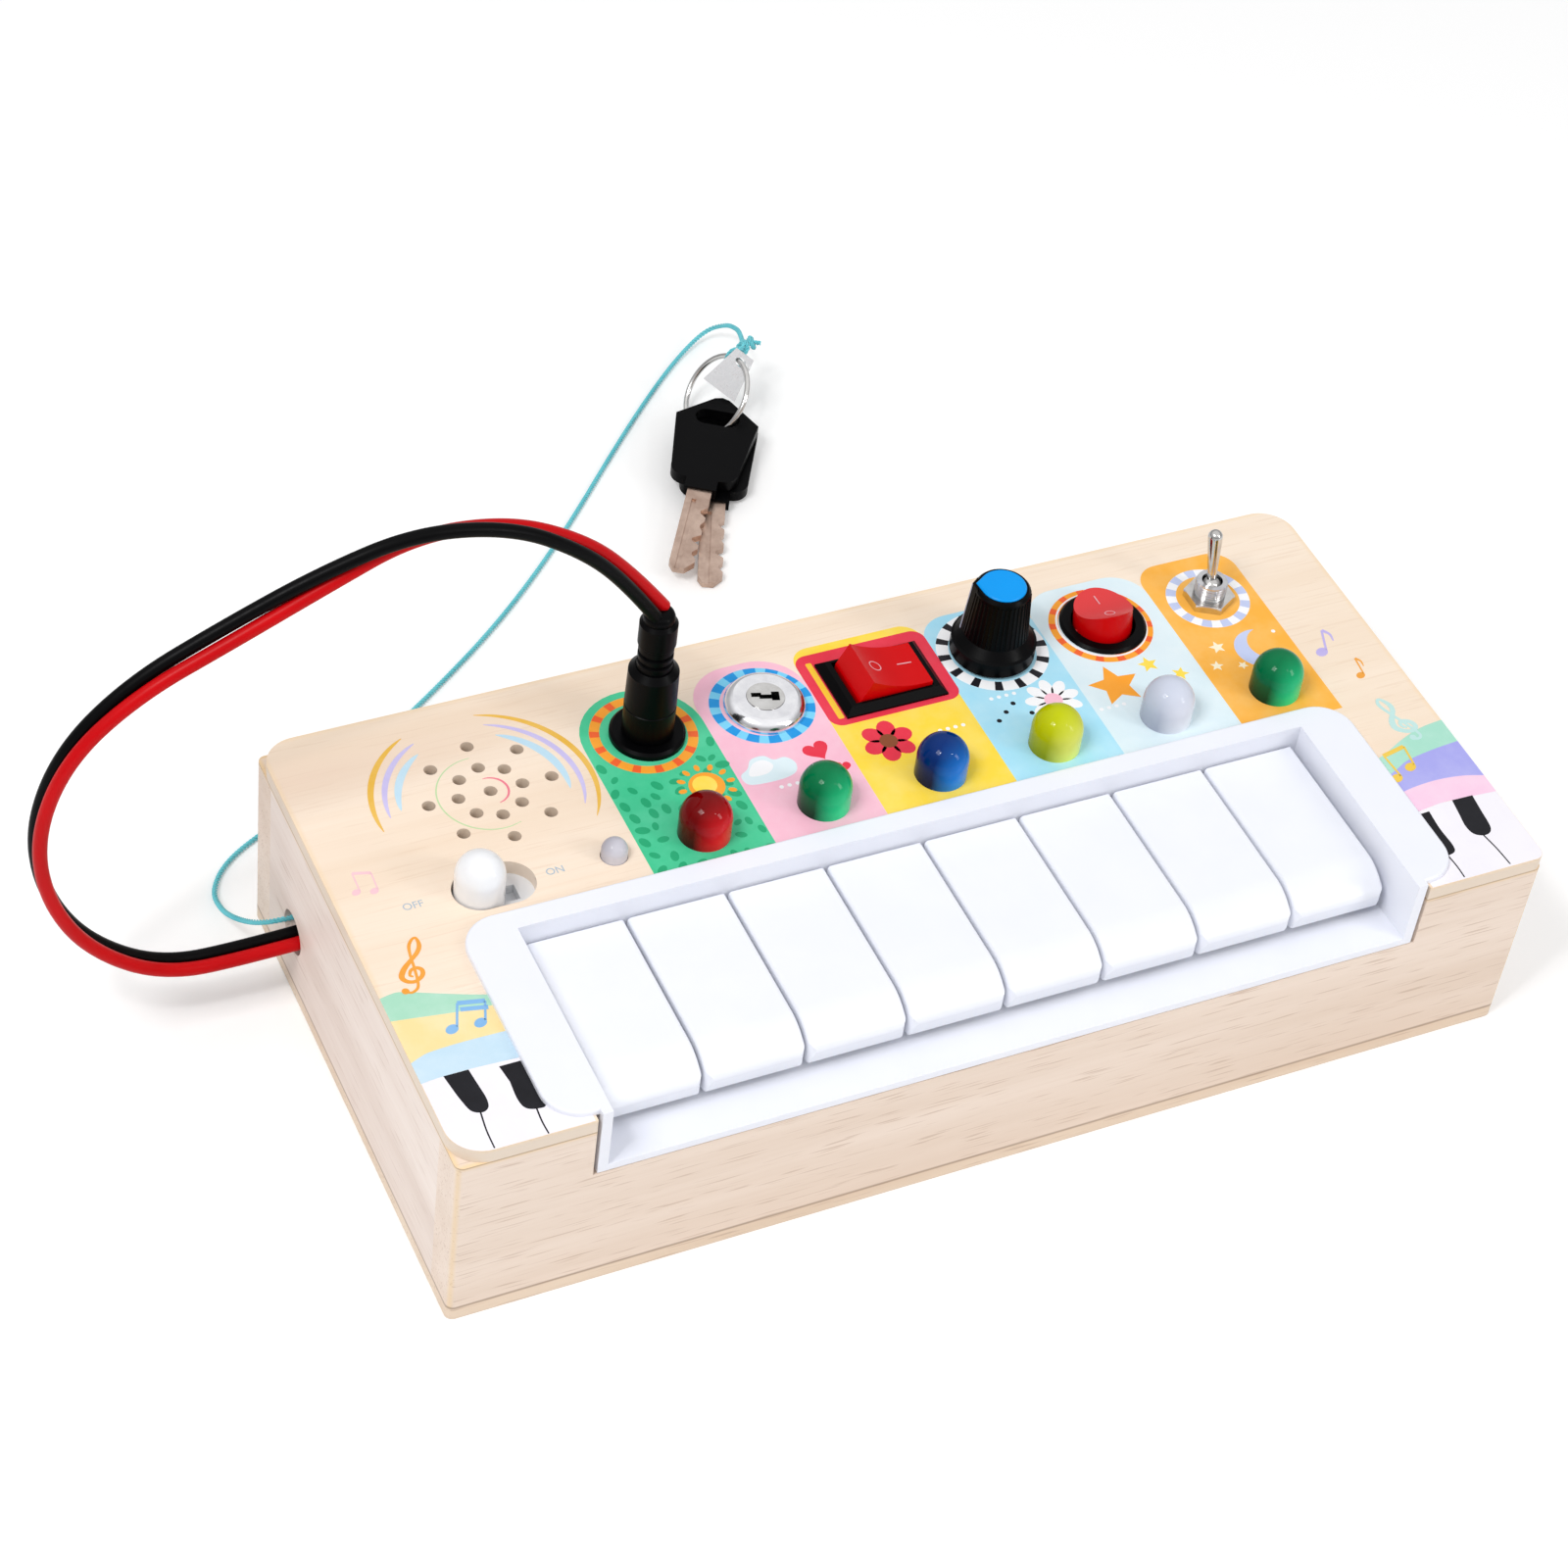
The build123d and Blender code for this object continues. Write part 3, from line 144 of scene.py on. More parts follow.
def newFinish(name, **settings):
    material = bpy.data.materials.new(name)
    material.use_nodes = True
    tree = material.node_tree
    tree.nodes.clear()
    shader = addNode(tree, "ShaderNodeBsdfPrincipled")
    for key, value in settings.items():
        shader.inputs[key.replace("_", " ")].default_value = value
    output = addNode(tree, "ShaderNodeOutputMaterial")
    tree.links.new(shader.outputs[0], output.inputs["Surface"])
    return material, tree, shader, addNode(tree, "ShaderNodeTexCoord").outputs["Object"]


def feedShader(tree, shader, colour, rough, height, strength, depth):
    # Colour, roughness and a bump whose depth is in millimetres
    bump = feed(tree, "ShaderNodeBump", {"Height": height, "Strength": strength, "Distance": depth * mm})
    for value, name in ((colour, "Base Color"), (rough, "Roughness"), (bump, "Normal")):
        tree.links.new(value, shader.inputs[name])


def cloud(tree, place, scale, detail=3.0, roughness=0.5, stretch=None):
    # Noise with so many features to the metre along each axis
    if stretch:
        place = feed(tree, "ShaderNodeMapping", {"Vector": place, "Scale": stretch})
    return feed(tree, "ShaderNodeTexNoise", {"Vector": place, "Scale": scale, "Detail": detail,
                                             "Roughness": roughness})


def lookUp(tree):
    # 1 on faces that look straight up, 0 on upright ones
    return split(tree, addNode(tree, "ShaderNodeTexCoord").outputs["Normal"])[2]


seamShadeBrown = "94745C"     # painted shade in the seam between two boards


def woodFinish(name, pale, deep, fleck, along="x", warm=None, seams=(), board=None, flecks=0.5, sanded=0.7,
               side=None, streak=None):
    # Grain runs along one axis. Seams are heights where two boards meet, drawn as lines of painted shade, board its
    # half length, half depth and
    # top, sanded how warm its outside corners are, side the shade of its upright faces, streak a darker band
    material, tree, shader, place = newFinish(name, Roughness=0.5)
    axes = split(tree, place)

    def grain(scale, detail, rough, lengthwise, across):
        stretch = [lengthwise if axis == along else across for axis in "xyz"]
        return cloud(tree, place, scale, detail, rough, stretch)

    def ridge(value, limit, rise, width=0.8):
        # 1 within a corner's width of the board's limit
        return spread(tree, value, (limit - rise - width) * mm, (limit - rise) * mm)

    broad = grain(5.0, 4.0, 0.55, 1.0, 14.0)
    lines = grain(40.0, 3.0, 0.6, 0.5, 26.0)
    ticks = grain(110.0, 1.0, 0.4, 0.9, 22.0)
    colour = vary(tree, spread(tree, broad, 0.35, 0.68), pale, deep)
    colour = vary(tree, spread(tree, lines, 0.5, 0.74, 0.0, 0.4), colour, deep)
    colour = vary(tree, spread(tree, ticks, 0.62, 0.72, 0.0, flecks), colour, fleck)
    upright = spread(tree, calc(tree, "ABSOLUTE", lookUp(tree)), 0.2, 0.6, 1.0, 0.0)
    if streak:
        # Where along x the band ends, the y of its middle, its half width and its colour
        end, middle, half, shade = streak
        away = calc(tree, "ABSOLUTE", minus(tree, axes[1], middle * mm))
        away = plus(tree, away, times(tree, broad, 8 * mm))
        band = times(tree, spread(tree, away, 4 * mm, (4 + half) * mm, 1.0, 0.0),
                     spread(tree, axes[0], end * mm, (end + 40) * mm, 1.0, 0.0))
        colour = vary(tree, times(tree, band, 0.75), colour, shade)
    if side:
        colour = vary(tree, times(tree, upright, 0.7), colour, side)
    if board:
        # Warmer colour along the outside corners and the top of the outer faces
        outX = ridge(calc(tree, "ABSOLUTE", axes[0]), board[0], 0.3)
        outY = ridge(calc(tree, "ABSOLUTE", axes[1]), board[1], 0.3)
        brim = times(tree, calc(tree, "MAXIMUM", outX, outY), ridge(axes[2], board[2], 0.1))
        either = calc(tree, "MAXIMUM", brim, times(tree, outX, outY))
        colour = vary(tree, times(tree, either, sanded), colour, warm)
    # Painted shade: a dark line along each seam on upright faces, where the gap between boards lies in shadow
    for seam in seams:
        away = calc(tree, "ABSOLUTE", minus(tree, axes[2], seam * mm))
        near = spread(tree, away, 0.1 * mm, 0.45 * mm, 0.7, 0.0)
        colour = vary(tree, times(tree, near, upright), colour, seamShadeBrown)
    fine = plus(tree, lines, times(tree, ticks, 0.6))
    feedShader(tree, shader, colour, spread(tree, lines, 0.3, 0.8, 0.42, 0.58), fine, 0.14, 0.1)
    return material


def plasticFinish(name, colour, second, rough=0.35, grain=2600.0, bump=0.05, shift=0.35, top=None, **settings):
    # Moulded plastic: faint shade changes, a fine skin and softly uneven gloss. Top is a lighter colour painted on
    # upper faces as a painted reflection
    material, tree, shader, place = newFinish(name, **settings)
    skin = cloud(tree, place, grain, 2.0)
    mixed = vary(tree, spread(tree, cloud(tree, place, 90.0), 0.3, 0.7, 0.0, shift), colour, second)
    # Painted reflection: faces that look up are lighter
    if top:
        mixed = vary(tree, spread(tree, lookUp(tree), 0.6, 0.95, 0.0, 0.8), mixed, top)
    feedShader(tree, shader, mixed, spread(tree, skin, 0.3, 0.7, rough * 0.9, rough * 1.12), skin, bump, 0.05)
    return material


def metalFinish(name, colour, second, rough=0.18, brushed=None, bump=0.04):
    # Metal with handling marks, and fine brush lines where a stretch is given
    material, tree, shader, place = newFinish(name, Metallic=1.0)
    worn = cloud(tree, place, 260.0, 4.0, 0.6)
    lines = cloud(tree, place, 900.0, 2.0, 0.5, brushed)
    marks = plus(tree, times(tree, worn, 0.5), times(tree, lines, 0.5))
    feedShader(tree, shader, vary(tree, spread(tree, worn, 0.35, 0.7), colour, second),
               spread(tree, marks, 0.35, 0.65, rough * 0.75, rough * 1.35), lines, bump, 0.04)
    return material


def inkFinish(name, colour, second, mottle, rough=0.42):
    # Print on the lid, washed unevenly like watercolour
    material, tree, shader, place = newFinish(name, Specular_IOR_Level=0.2)
    wash = cloud(tree, place, 130.0, 4.0, 0.6)
    speck = cloud(tree, place, 900.0, 2.0)
    feedShader(tree, shader, vary(tree, spread(tree, wash, 0.4, 0.7, 0.0, mottle), colour, second),
               spread(tree, speck, 0.3, 0.7, rough * 0.9, rough * 1.15), speck, 0.05, 0.02)
    return material


# Each control has its lamp in front of it, and they are one pitch apart along x
station = {"first": -38.6, "pitch": 23.75, "controlY": 31.2, "lampY": 4.75}
stationX = [station["first"] + station["pitch"] * place for place in range(6)]


def lensFinish(name, colour, deep, paintedGlow):
    # Tinted resin: deeper towards its foot, with a painted glow low on the side away from the main light
    material, tree, shader, place = newFinish(name, IOR=1.5, Specular_IOR_Level=0.14)
    axes = split(tree, place)
    haze = cloud(tree, place, 300.0)
    rise = plus(tree, spread(tree, axes[2], lidTop * mm, (lidTop + 9) * mm), times(tree, haze, 0.2))
    shade = vary(tree, spread(tree, rise, 0.1, 1.1), deep, colour)
    # How far the point is from the middle of the nearest lamp, along x and y
    pitch = station["pitch"] * mm
    steps = calc(tree, "DIVIDE", minus(tree, axes[0], station["first"] * mm), pitch)
    alongX = times(tree, minus(tree, steps, calc(tree, "ROUND", steps)), pitch)
    alongY = minus(tree, axes[1], station["lampY"] * mm)
    lean = minus(tree, times(tree, alongX, 0.62), times(tree, alongY, 0.78))
    # Painted glow: a lighter patch low on each lamp's side away from the main light
    spot = spread(tree, plus(tree, lean, times(tree, haze, 0.8 * mm)), 0.6 * mm, 4.9 * mm)
    low = spread(tree, axes[2], (lidTop + 1.5) * mm, (lidTop + 10.5) * mm, 1.0, 0.0)
    feedShader(tree, shader, vary(tree, times(tree, spot, low), shade, paintedGlow),
               spread(tree, haze, 0.3, 0.7, 0.05, 0.09), haze, 0.03, 0.05)
    return material


wallLook = {"warm": "F2D39E", "seams": (41, 3), "board": (107, 50.75, 41)}
rockerLook = {"colour": "D40006", "second": "BE0004", "rough": 0.24, "grain": 1200.0, "bump": 0.02,
              "Specular_IOR_Level": 0.12}
finishes = {
    "lid_wood": woodFinish("lidWood", "FAE9D6", "F1DBC3", "DDBFA2", warm="F2D4A8", board=(107, 50.75, 44),
                           flecks=0.22, sanded=0.4, side="DFD0C0", streak=(-95, 40, 9, "EFD6C0")),
    "pine": woodFinish("frontPine", "F3E2D4", "E4CFBD", "B5937A", flecks=0.45, **wallLook),
    "base_wood": woodFinish("baseWood", "F0DDC8", "E0C8B0", "B08C70", seams=(3,), flecks=0.4),
    "black_plastic": plasticFinish("blackMoulding", "040405", "09090A", 0.32, 1500.0, 0.05, Specular_IOR_Level=0.06),
    "white_plastic": plasticFinish("whiteMoulding", "F0F2FA", "E8EBF7", 0.32, 500.0, 0.0),
    "key_plastic": plasticFinish("pianoKeyWhite", "F1F3FA", "E9ECF6", 0.24, 500.0, 0.0),
    "steel": metalFinish("drawnSteel", "C9C9CB", "A9A9AD", 0.25, (1, 14, 14)),
    "nickel": metalFinish("brightNickel", "DDDCDA", "C2C0BD", 0.14),
    "chrome": metalFinish("satinChrome", "F6F6F8", "E4E4E8", 0.15, None, 0.03),
    "blade_metal": metalFinish("keyBlank", "D0B7A7", "B59B8C", 0.36, (14, 2, 14), 0.08),
    "tag_metal": metalFinish("brushedTag", "E8E9EA", "CFD1D3", 0.3, (2, 16, 16), 0.1),
    "board_green": plasticFinish("circuitBoard", "1E6B3C", "27804A", 0.4),
    "rubber_grey": plasticFinish("domeRubber", "A9A9A9", "989898", 0.7),
    "cone_paper": plasticFinish("coneFilm", "232323", "303030", 0.6),
    "cell_wrap": plasticFinish("cellWrap", "303033", "444448", 0.25),
    # Each lamp's last colour is its painted glow
    "red_lens": lensFinish("redLamp", "740002", "380001", "FF2830"),
    "green_lens": lensFinish("greenLamp", "017646", "01301C", "36E89C"),
    "blue_lens": lensFinish("blueLamp", "022E72", "010E3A", "2E96FF"),
    "yellow_lens": lensFinish("yellowLamp", "C0C806", "8C9204", "F6FB7C"),
    "white_lens": lensFinish("milkyLamp", "CCD2E2", "A4A9BC", "F4F5FC"),
    "switch_grey": plasticFinish("switchPlate", "EDEFF2", "E0E3E8", 0.4),
    "slide_white": plasticFinish("slideCap", "F4F5F7", "E8EAEE", 0.18, 1100.0, 0.03, Coat_Weight=0.3),
    "red_paddle": plasticFinish("rockerRed", **rockerLook),
    "pot_metal": metalFinish("platedSteel", "D8D8D9", "BBBBBE", 0.16),
    "cap_blue": plasticFinish("capBlue", "029CF2", "0490E6", 0.35, Specular_IOR_Level=0.15),
    "wire_red": plasticFinish("redVinyl", "C8060E", "A8040A", 0.34, 900.0, 0.05, Specular_IOR_Level=0.12),
    "wire_black": plasticFinish("blackVinyl", "050506", "0A0A0B", 0.36, 900.0, 0.05, Specular_IOR_Level=0.07),
    "cord_cyan": plasticFinish("cyanFibre", "72D6E0", "4DBECB", 0.7, 4200.0, 0.25, 0.8, Sheen_Weight=0.3),
}
sideWood = woodFinish("sidePine", "F6E9E0", "E6D5CA", "B79A86", "y", flecks=0.4, **wallLook)
ownFinishes = {
    "left_wall": sideWood,
    "right_wall": sideWood,
    # Its last colour is its painted glow
    "power_led": lensFinish("pilotLamp", "AAA7B2", "7E7B88", "D5D3DC"),
    # A painted reflection makes its upper faces lighter
    "round_rocker_paddle": plasticFinish("roundRockerRed", top="E04A4C", **rockerLook),
}
for row in frame["record"]["subparts"]:
    for place in nodes[row["node"]].material_slots:
        place.material = ownFinishes.get(row["node"], finishes[row["material_slot"]])
print("finishes on the moulded, metal and wooden parts")


def showPiece(name, mesh, body, material=None):
    # A finished mesh as a piece on a body; a wire that two bodies share has none
    piece = bpy.data.objects.new(name, mesh)
    if material:
        mesh.materials.clear()
        mesh.materials.append(material)
    scene.collection.objects.link(piece)
    if body:
        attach(piece, body)
    return piece


def closeMesh(mesh, reach=1e-6):
    # Welds what touches and turns every face outwards
    work = bmesh.new()
    work.from_mesh(mesh)
    bmesh.ops.remove_doubles(work, verts=work.verts, dist=reach)
    bmesh.ops.recalc_face_normals(work, faces=work.faces)
    work.to_mesh(mesh)
    work.free()
    return mesh


def smoothShade(mesh):
    mesh.shade_smooth()
    return mesh


def finishMesh(name, work, matrix):
    # The faces of a bmesh turned outwards, as a mesh in its place
    bmesh.ops.recalc_face_normals(work, faces=work.faces)
    mesh = bpy.data.meshes.new(name)
    work.to_mesh(mesh)
    work.free()
    mesh.transform(matrix)
    return mesh


def addBar(work, rows, ends=True):
    # Skins rows of four corners, then closes both ends or joins the last row to the first
    rows = [[work.verts.new(corner) for corner in row] for row in rows]
    for first, second in zip(rows, rows[1:] if ends else rows[1:] + rows[:1]):
        for corner in range(4):
            after = (corner + 1) % 4
            work.faces.new((first[corner], first[after], second[after], second[corner]))
    if ends:
        work.faces.new(rows[0])
        work.faces.new(rows[-1])


def newTree(name, floats=(), whole=(), vectors=()):
    # A tree with named inputs of each kind, and one for the material
    tree = bpy.data.node_groups.new(name, "GeometryNodeTree")
    tree.interface.new_socket("Geometry", in_out="OUTPUT", socket_type="NodeSocketGeometry")
    for kind, labels in (("Geometry", ["Geometry"]), ("Float", floats), ("Int", whole), ("Vector", vectors),
                         ("Material", ["Material"])):
        for label in labels:
            tree.interface.new_socket(label, in_out="INPUT", socket_type="NodeSocket" + kind)
    return tree, tree.nodes.new("NodeGroupInput").outputs, tree.nodes.new("NodeGroupOutput").inputs


def finishTree(tree, geometry, given, leaving):
    real = feed(tree, "GeometryNodeRealizeInstances", {"Geometry": geometry})
    dressed = feed(tree, "GeometryNodeSetMaterial", {"Geometry": real, "Material": given["Material"]})
    tree.links.new(dressed, leaving["Geometry"])
    return tree


def growMesh(tree, values, base=None):
    # What the tree makes of its values, as a plain mesh
    mesh = base or bpy.data.meshes.new(tree.name)
    holder = bpy.data.objects.new(tree.name, mesh)
    scene.collection.objects.link(holder)
    rule = holder.modifiers.new("rule", "NODES")
    rule.node_group = tree
    for item in tree.interface.items_tree:
        if item.in_out == "INPUT" and item.name in values:
            rule[item.identifier] = values[item.name]
    made = bpy.data.meshes.new_from_object(holder.evaluated_get(bpy.context.evaluated_depsgraph_get()))
    holder.modifiers.remove(rule)
    bpy.data.objects.remove(holder)
    return made


def placed(tree, geometry, place, size=(1, 1, 1)):
    return feed(tree, "GeometryNodeTransform", {"Geometry": geometry, "Translation": place, "Scale": size})


def circle(tree, sides, radius):
    return feed(tree, "GeometryNodeCurvePrimitiveCircle", {"Resolution": sides, "Radius": radius})


def sweep(tree, curve, profile, caps=True):
    return feed(tree, "GeometryNodeCurveToMesh", {"Curve": curve, "Profile Curve": profile, "Fill Caps": caps})


def copyOn(tree, points, piece, **more):
    return feed(tree, "GeometryNodeInstanceOnPoints", {"Points": points, "Instance": piece, **more})


def roundAbout(tree, count, turn, piece):
    # Copies of a piece turned about the centre, one for each share of the circle
    line = feed(tree, "GeometryNodeMeshLine", {"Count": count, "Offset": (0, 0, 0)})
    index = feed(tree, "GeometryNodeInputIndex")
    share = calc(tree, "DIVIDE", times(tree, index, 2 * math.pi), count)
    return copyOn(tree, line, piece, Rotation=join(tree, Z=plus(tree, share, turn)))


blackWireRoute = [
    (-0.0980, 0.0301, 0.0156), (-0.1150, 0.0300, 0.0150), (-0.1320, 0.0302, 0.0156), (-0.1456, 0.0305, 0.0268),
    (-0.1528, 0.0307, 0.0420), (-0.1540, 0.0310, 0.0585), (-0.1480, 0.0312, 0.0746), (-0.1358, 0.0313, 0.0864),
    (-0.1199, 0.0312, 0.0944), (-0.1033, 0.0307, 0.1022), (-0.0865, 0.0298, 0.1077), (-0.0690, 0.0296, 0.1044),
    (-0.0556, 0.0297, 0.0952), (-0.0466, 0.0299, 0.0852), (-0.0399, 0.0303, 0.0747),
]
redWireRoute = [
    (-0.0980, 0.0274, 0.0156), (-0.1150, 0.0273, 0.0150), (-0.1320, 0.0275, 0.0156), (-0.1456, 0.0278, 0.0268),
    (-0.1528, 0.0280, 0.0420), (-0.1540, 0.0283, 0.0585), (-0.1480, 0.0285, 0.0746), (-0.1354, 0.0287, 0.0857),
    (-0.1192, 0.0291, 0.0927), (-0.1024, 0.0301, 0.0996), (-0.0859, 0.0316, 0.1055), (-0.0683, 0.0324, 0.1031),
    (-0.0537, 0.0326, 0.0945), (-0.0441, 0.0326, 0.0842), (-0.0374, 0.0323, 0.0747),
]
keyCordRoute = [
    (-0.0980, 0.0334, 0.0156), (-0.1075, 0.0336, 0.0154), (-0.1116, 0.0374, 0.0120), (-0.1134, 0.0438, 0.0074),
    (-0.1138, 0.0506, 0.0030), (-0.1132, 0.0576, 0.0007), (-0.1080, 0.0644, 0.0006), (-0.0970, 0.0702, 0.0006),
    (-0.0800, 0.0786, 0.0006), (-0.0575, 0.0930, 0.0006), (-0.0345, 0.1100, 0.0006), (-0.0128, 0.1300, 0.0006),
    (0.0120, 0.1565, 0.0006), (0.0265, 0.1708, 0.0006), (0.0360, 0.1790, 0.0008), (0.0434, 0.1829, 0.0026),
    (0.0463, 0.1794, 0.0060), (0.0456, 0.1736, 0.0096), (0.0442, 0.1686, 0.0125), (0.0426, 0.1642, 0.0140),
]
# Inputs of the two trees, in metres
wireLook = {"Radius": 1.3 * mm, "Sides": 20}
cordLook = {"Strand Radius": 0.262 * mm, "Strand Offset": 0.288 * mm, "Step": 0.24 * mm, "Twist": 0.62}


def routeLine(name, points):
    # The mesh of a smooth line that follows a route's control points
    data = bpy.data.curves.new(name, "CURVE")
    data.dimensions = "3D"
    data.resolution_u = 12
    spline = data.splines.new("NURBS")
    spline.points.add(len(points) - 1)
    for place, point in zip(spline.points, points):
        place.co = (*point, 1)
    spline.order_u = 3
    spline.use_endpoint_u = True
    return bpy.data.meshes.new_from_object(bpy.data.objects.new(name, data))


def cableTubeTree():
    tree, given, leaving = newTree("cableTube", ["Radius"], ["Sides"])
    line = feed(tree, "GeometryNodeMeshToCurve", {"Mesh": given["Geometry"]})
    tube = sweep(tree, line, circle(tree, given["Sides"], given["Radius"]))
    return finishTree(tree, tube, given, leaving)


def twistedCordTree():
    tree, given, leaving = newTree("twistedCord", ["Strand Radius", "Strand Offset", "Step", "Twist"])
    line = feed(tree, "GeometryNodeMeshToCurve", {"Mesh": given["Geometry"]})
    even = feed(tree, "GeometryNodeResampleCurve", {"Curve": line, "Length": given["Step"]}, mode="LENGTH")
    tilt = times(tree, feed(tree, "GeometryNodeInputIndex"), given["Twist"])
    tilted = feed(tree, "GeometryNodeSetCurveTilt", {"Curve": even, "Tilt": tilt})
    strand = placed(tree, circle(tree, 7, given["Strand Radius"]), join(tree, X=given["Strand Offset"]))
    three = feed(tree, "GeometryNodeRealizeInstances", {"Geometry": roundAbout(tree, 3, 0.0, strand)})
    return finishTree(tree, sweep(tree, tilted, three), given, leaving)


cableTube = cableTubeTree()
twistedCord = twistedCordTree()


def makeWire(name, route, node, slot):
    line = routeLine(name + "Line", route)
    mesh = growMesh(cableTube, {**wireLook, "Material": finishes[slot]}, line)
    wire = showPiece(name, smoothShade(closeMesh(mesh)), None)
    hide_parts(node)
    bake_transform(wire)


def turnedMesh(name, profile, sides, middle):
    # A closed turned shape from (radius, height) pairs, which starts and ends on its axis
    work = bmesh.new()
    rings = []
    for radius, height in profile:
        if not radius:
            rings.append([work.verts.new((0, 0, height * mm))])
            continue
        rings.append([work.verts.new((radius * mm * math.cos(2 * math.pi * side / sides),
                                      radius * mm * math.sin(2 * math.pi * side / sides), height * mm))
                      for side in range(sides)])
    for low, high in zip(rings, rings[1:]):
        for side in range(sides):
            after = side + 1
            work.faces.new(list(dict.fromkeys([low[side % len(low)], low[after % len(low)],
                                               high[after % len(high)], high[side % len(high)]])))
    return finishMesh(name, work, Matrix.Translation(Vector(middle) * mm))


# A soft collar that holds the two wires where they enter the plug
bootProfile = [(0, 72.4), (2.6, 72.4), (2.95, 72.9), (2.95, 73.9), (2.7, 74.5), (2.1, 74.9), (0, 74.9)]
boot = showPiece("wireBoot", smoothShade(turnedMesh("wireBoot", bootProfile, 32, (-38.65, 31.25, 0))), "plug",
                 finishes["black_plastic"])
makeWire("blackWire", blackWireRoute, "black_wire", "wire_black")
makeWire("redWire", redWireRoute, "red_wire", "wire_red")


def cordPiece(name, line, node):
    mesh = growMesh(twistedCord, {**cordLook, "Material": finishes["cord_cyan"]}, line)
    piece = showPiece(name, smoothShade(mesh), "case")
    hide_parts(node)
    return piece


# A turn of the cord round the ring, a loose double knot beside it and a short tail, given as distances from
# the ring's wire: along the knot, to its left and upwards
knotWay = (0.914, 0.406)
knotStart = (38.0, 160.0, 14.07)
knotTurns = [
    (5.9, 1.9, 0.0), (5.0, 0.7, 0.9), (3.6, -0.5, 1.1), (2.2, -0.5, 0.9), (1.2, -0.1, 1.3), (0.0, 0.0, 1.45),
    (-1.3, 0.0, 0.6), (-1.2, 0.2, -0.8), (0.1, 0.3, -1.4), (1.4, 0.3, -1.1), (2.8, 0.7, -0.7), (4.0, 1.3, 0.2),
    (4.9, 0.5, 1.3), (4.5, -1.1, 1.1), (3.3, -1.3, 0.0), (3.7, -0.4, -1.2), (5.0, 0.7, -1.2), (6.0, 1.2, 0.0),
    (6.1, 0.1, 1.4), (5.3, -1.2, 0.9), (6.4, -1.2, -0.5), (7.4, 0.0, -0.8), (7.7, 0.9, 0.2), (7.0, 0.9, 1.1),
    (6.3, -0.2, 0.7), (7.4, -0.9, 0.3), (8.1, -1.3, 0.1),
]


def knotPoint(along, left, up):
    return ((knotStart[0] + knotWay[0] * along - knotWay[1] * left) * mm,
            (knotStart[1] + knotWay[1] * along + knotWay[0] * left) * mm, (knotStart[2] + up) * mm)


knot = cordPiece("cordKnot", routeLine("cordKnotLine", [knotPoint(*turn) for turn in knotTurns]), "cord_knot")
line = routeLine("keyCordLine", keyCordRoute)
cord = cordPiece("keyCord", line, "key_cord")
print("wires and key cord laid")


def film(level):
    # Lowest and highest z of a printed layer, each a little above the one before
    return lidTop - 0.01, lidTop + 0.03 + 0.02 * level


def filmMesh(name, data, level, x=0.0, y=0.0):
    # A flat curve or lettering made a thin plate in its layer
    low, high = film(level)
    data.extrude = (high - low) / 2
    mesh = closeMesh(bpy.data.meshes.new_from_object(bpy.data.objects.new(name, data)), 1e-4)
    mesh.transform(Matrix.Translation((x * mm, y * mm, (low + high) / 2 * mm)) @ Matrix.Scale(mm, 4))
    return mesh


def plate(name, loops, level, ink):
    # A thin plate from closed outlines, an inner outline being a hole
    data = bpy.data.curves.new(name, "CURVE")
    data.dimensions = "2D"
    data.fill_mode = "BOTH"
    for loop in loops:
        spline = data.splines.new("POLY")
        spline.points.add(len(loop) - 1)
        for corner, (x, y) in zip(spline.points, loop):
            corner.co = (x, y, 0, 1)
        spline.use_cyclic_u = True
    showPiece(name, filmMesh(name, data, level), "case", inks[ink])


def arc(x, y, radius, start, end, count):
    return [(x + radius * math.cos(math.radians(start + (end - start) * part / count)),
             y + radius * math.sin(math.radians(start + (end - start) * part / count)))
            for part in range(count + 1)]


def turned(x, y, turn, points):
    # Points about a centre, turned by an angle
    cosine, sine = math.cos(math.radians(turn)), math.sin(math.radians(turn))
    return [(x + along * cosine - across * sine, y + along * sine + across * cosine) for along, across in points]


def disc(x, y, radius, wide=1.0, turn=0.0, count=28):
    # A circle, or an ellipse whose wide side is turned by an angle
    steps = [2 * math.pi * part / count for part in range(count)]
    return turned(x, y, turn, [(radius * wide * math.cos(step), radius * math.sin(step)) for step in steps])


def smoothLoop(points, closed=True, steps=6):
    # Passes smoothly through every point, and carries any further numbers along
    count = len(points)
    made = []
    for place in range(count if closed else count - 1):
        near = [place + shift if closed else min(max(place + shift, 0), count - 1) for shift in (-1, 0, 1, 2)]
        around = [points[spot % count] for spot in near]
        for step in range(steps):
            t = step / steps
            made.append(tuple(
                0.5 * (2 * b + (c - a) * t + (2 * a - 5 * b + 4 * c - d) * t * t
                       + (3 * b - a - 3 * c + d) * t * t * t)
                for a, b, c, d in zip(*around)))
    if not closed:
        made.append(tuple(points[-1]))
    return made


def roundedBox(x0, x1, y0, y1, radii):
    # Corner radii in the order front left, front right, back right, back left
    corners = ((x0, y0, 1, 1, 180), (x1, y0, -1, 1, 270), (x1, y1, -1, -1, 0), (x0, y1, 1, -1, 90))
    loop = []
    for (x, y, toX, toY, start), radius in zip(corners, radii):
        loop += arc(x + toX * radius, y + toY * radius, radius, start, start + 90, 10) if radius else [(x, y)]
    return loop


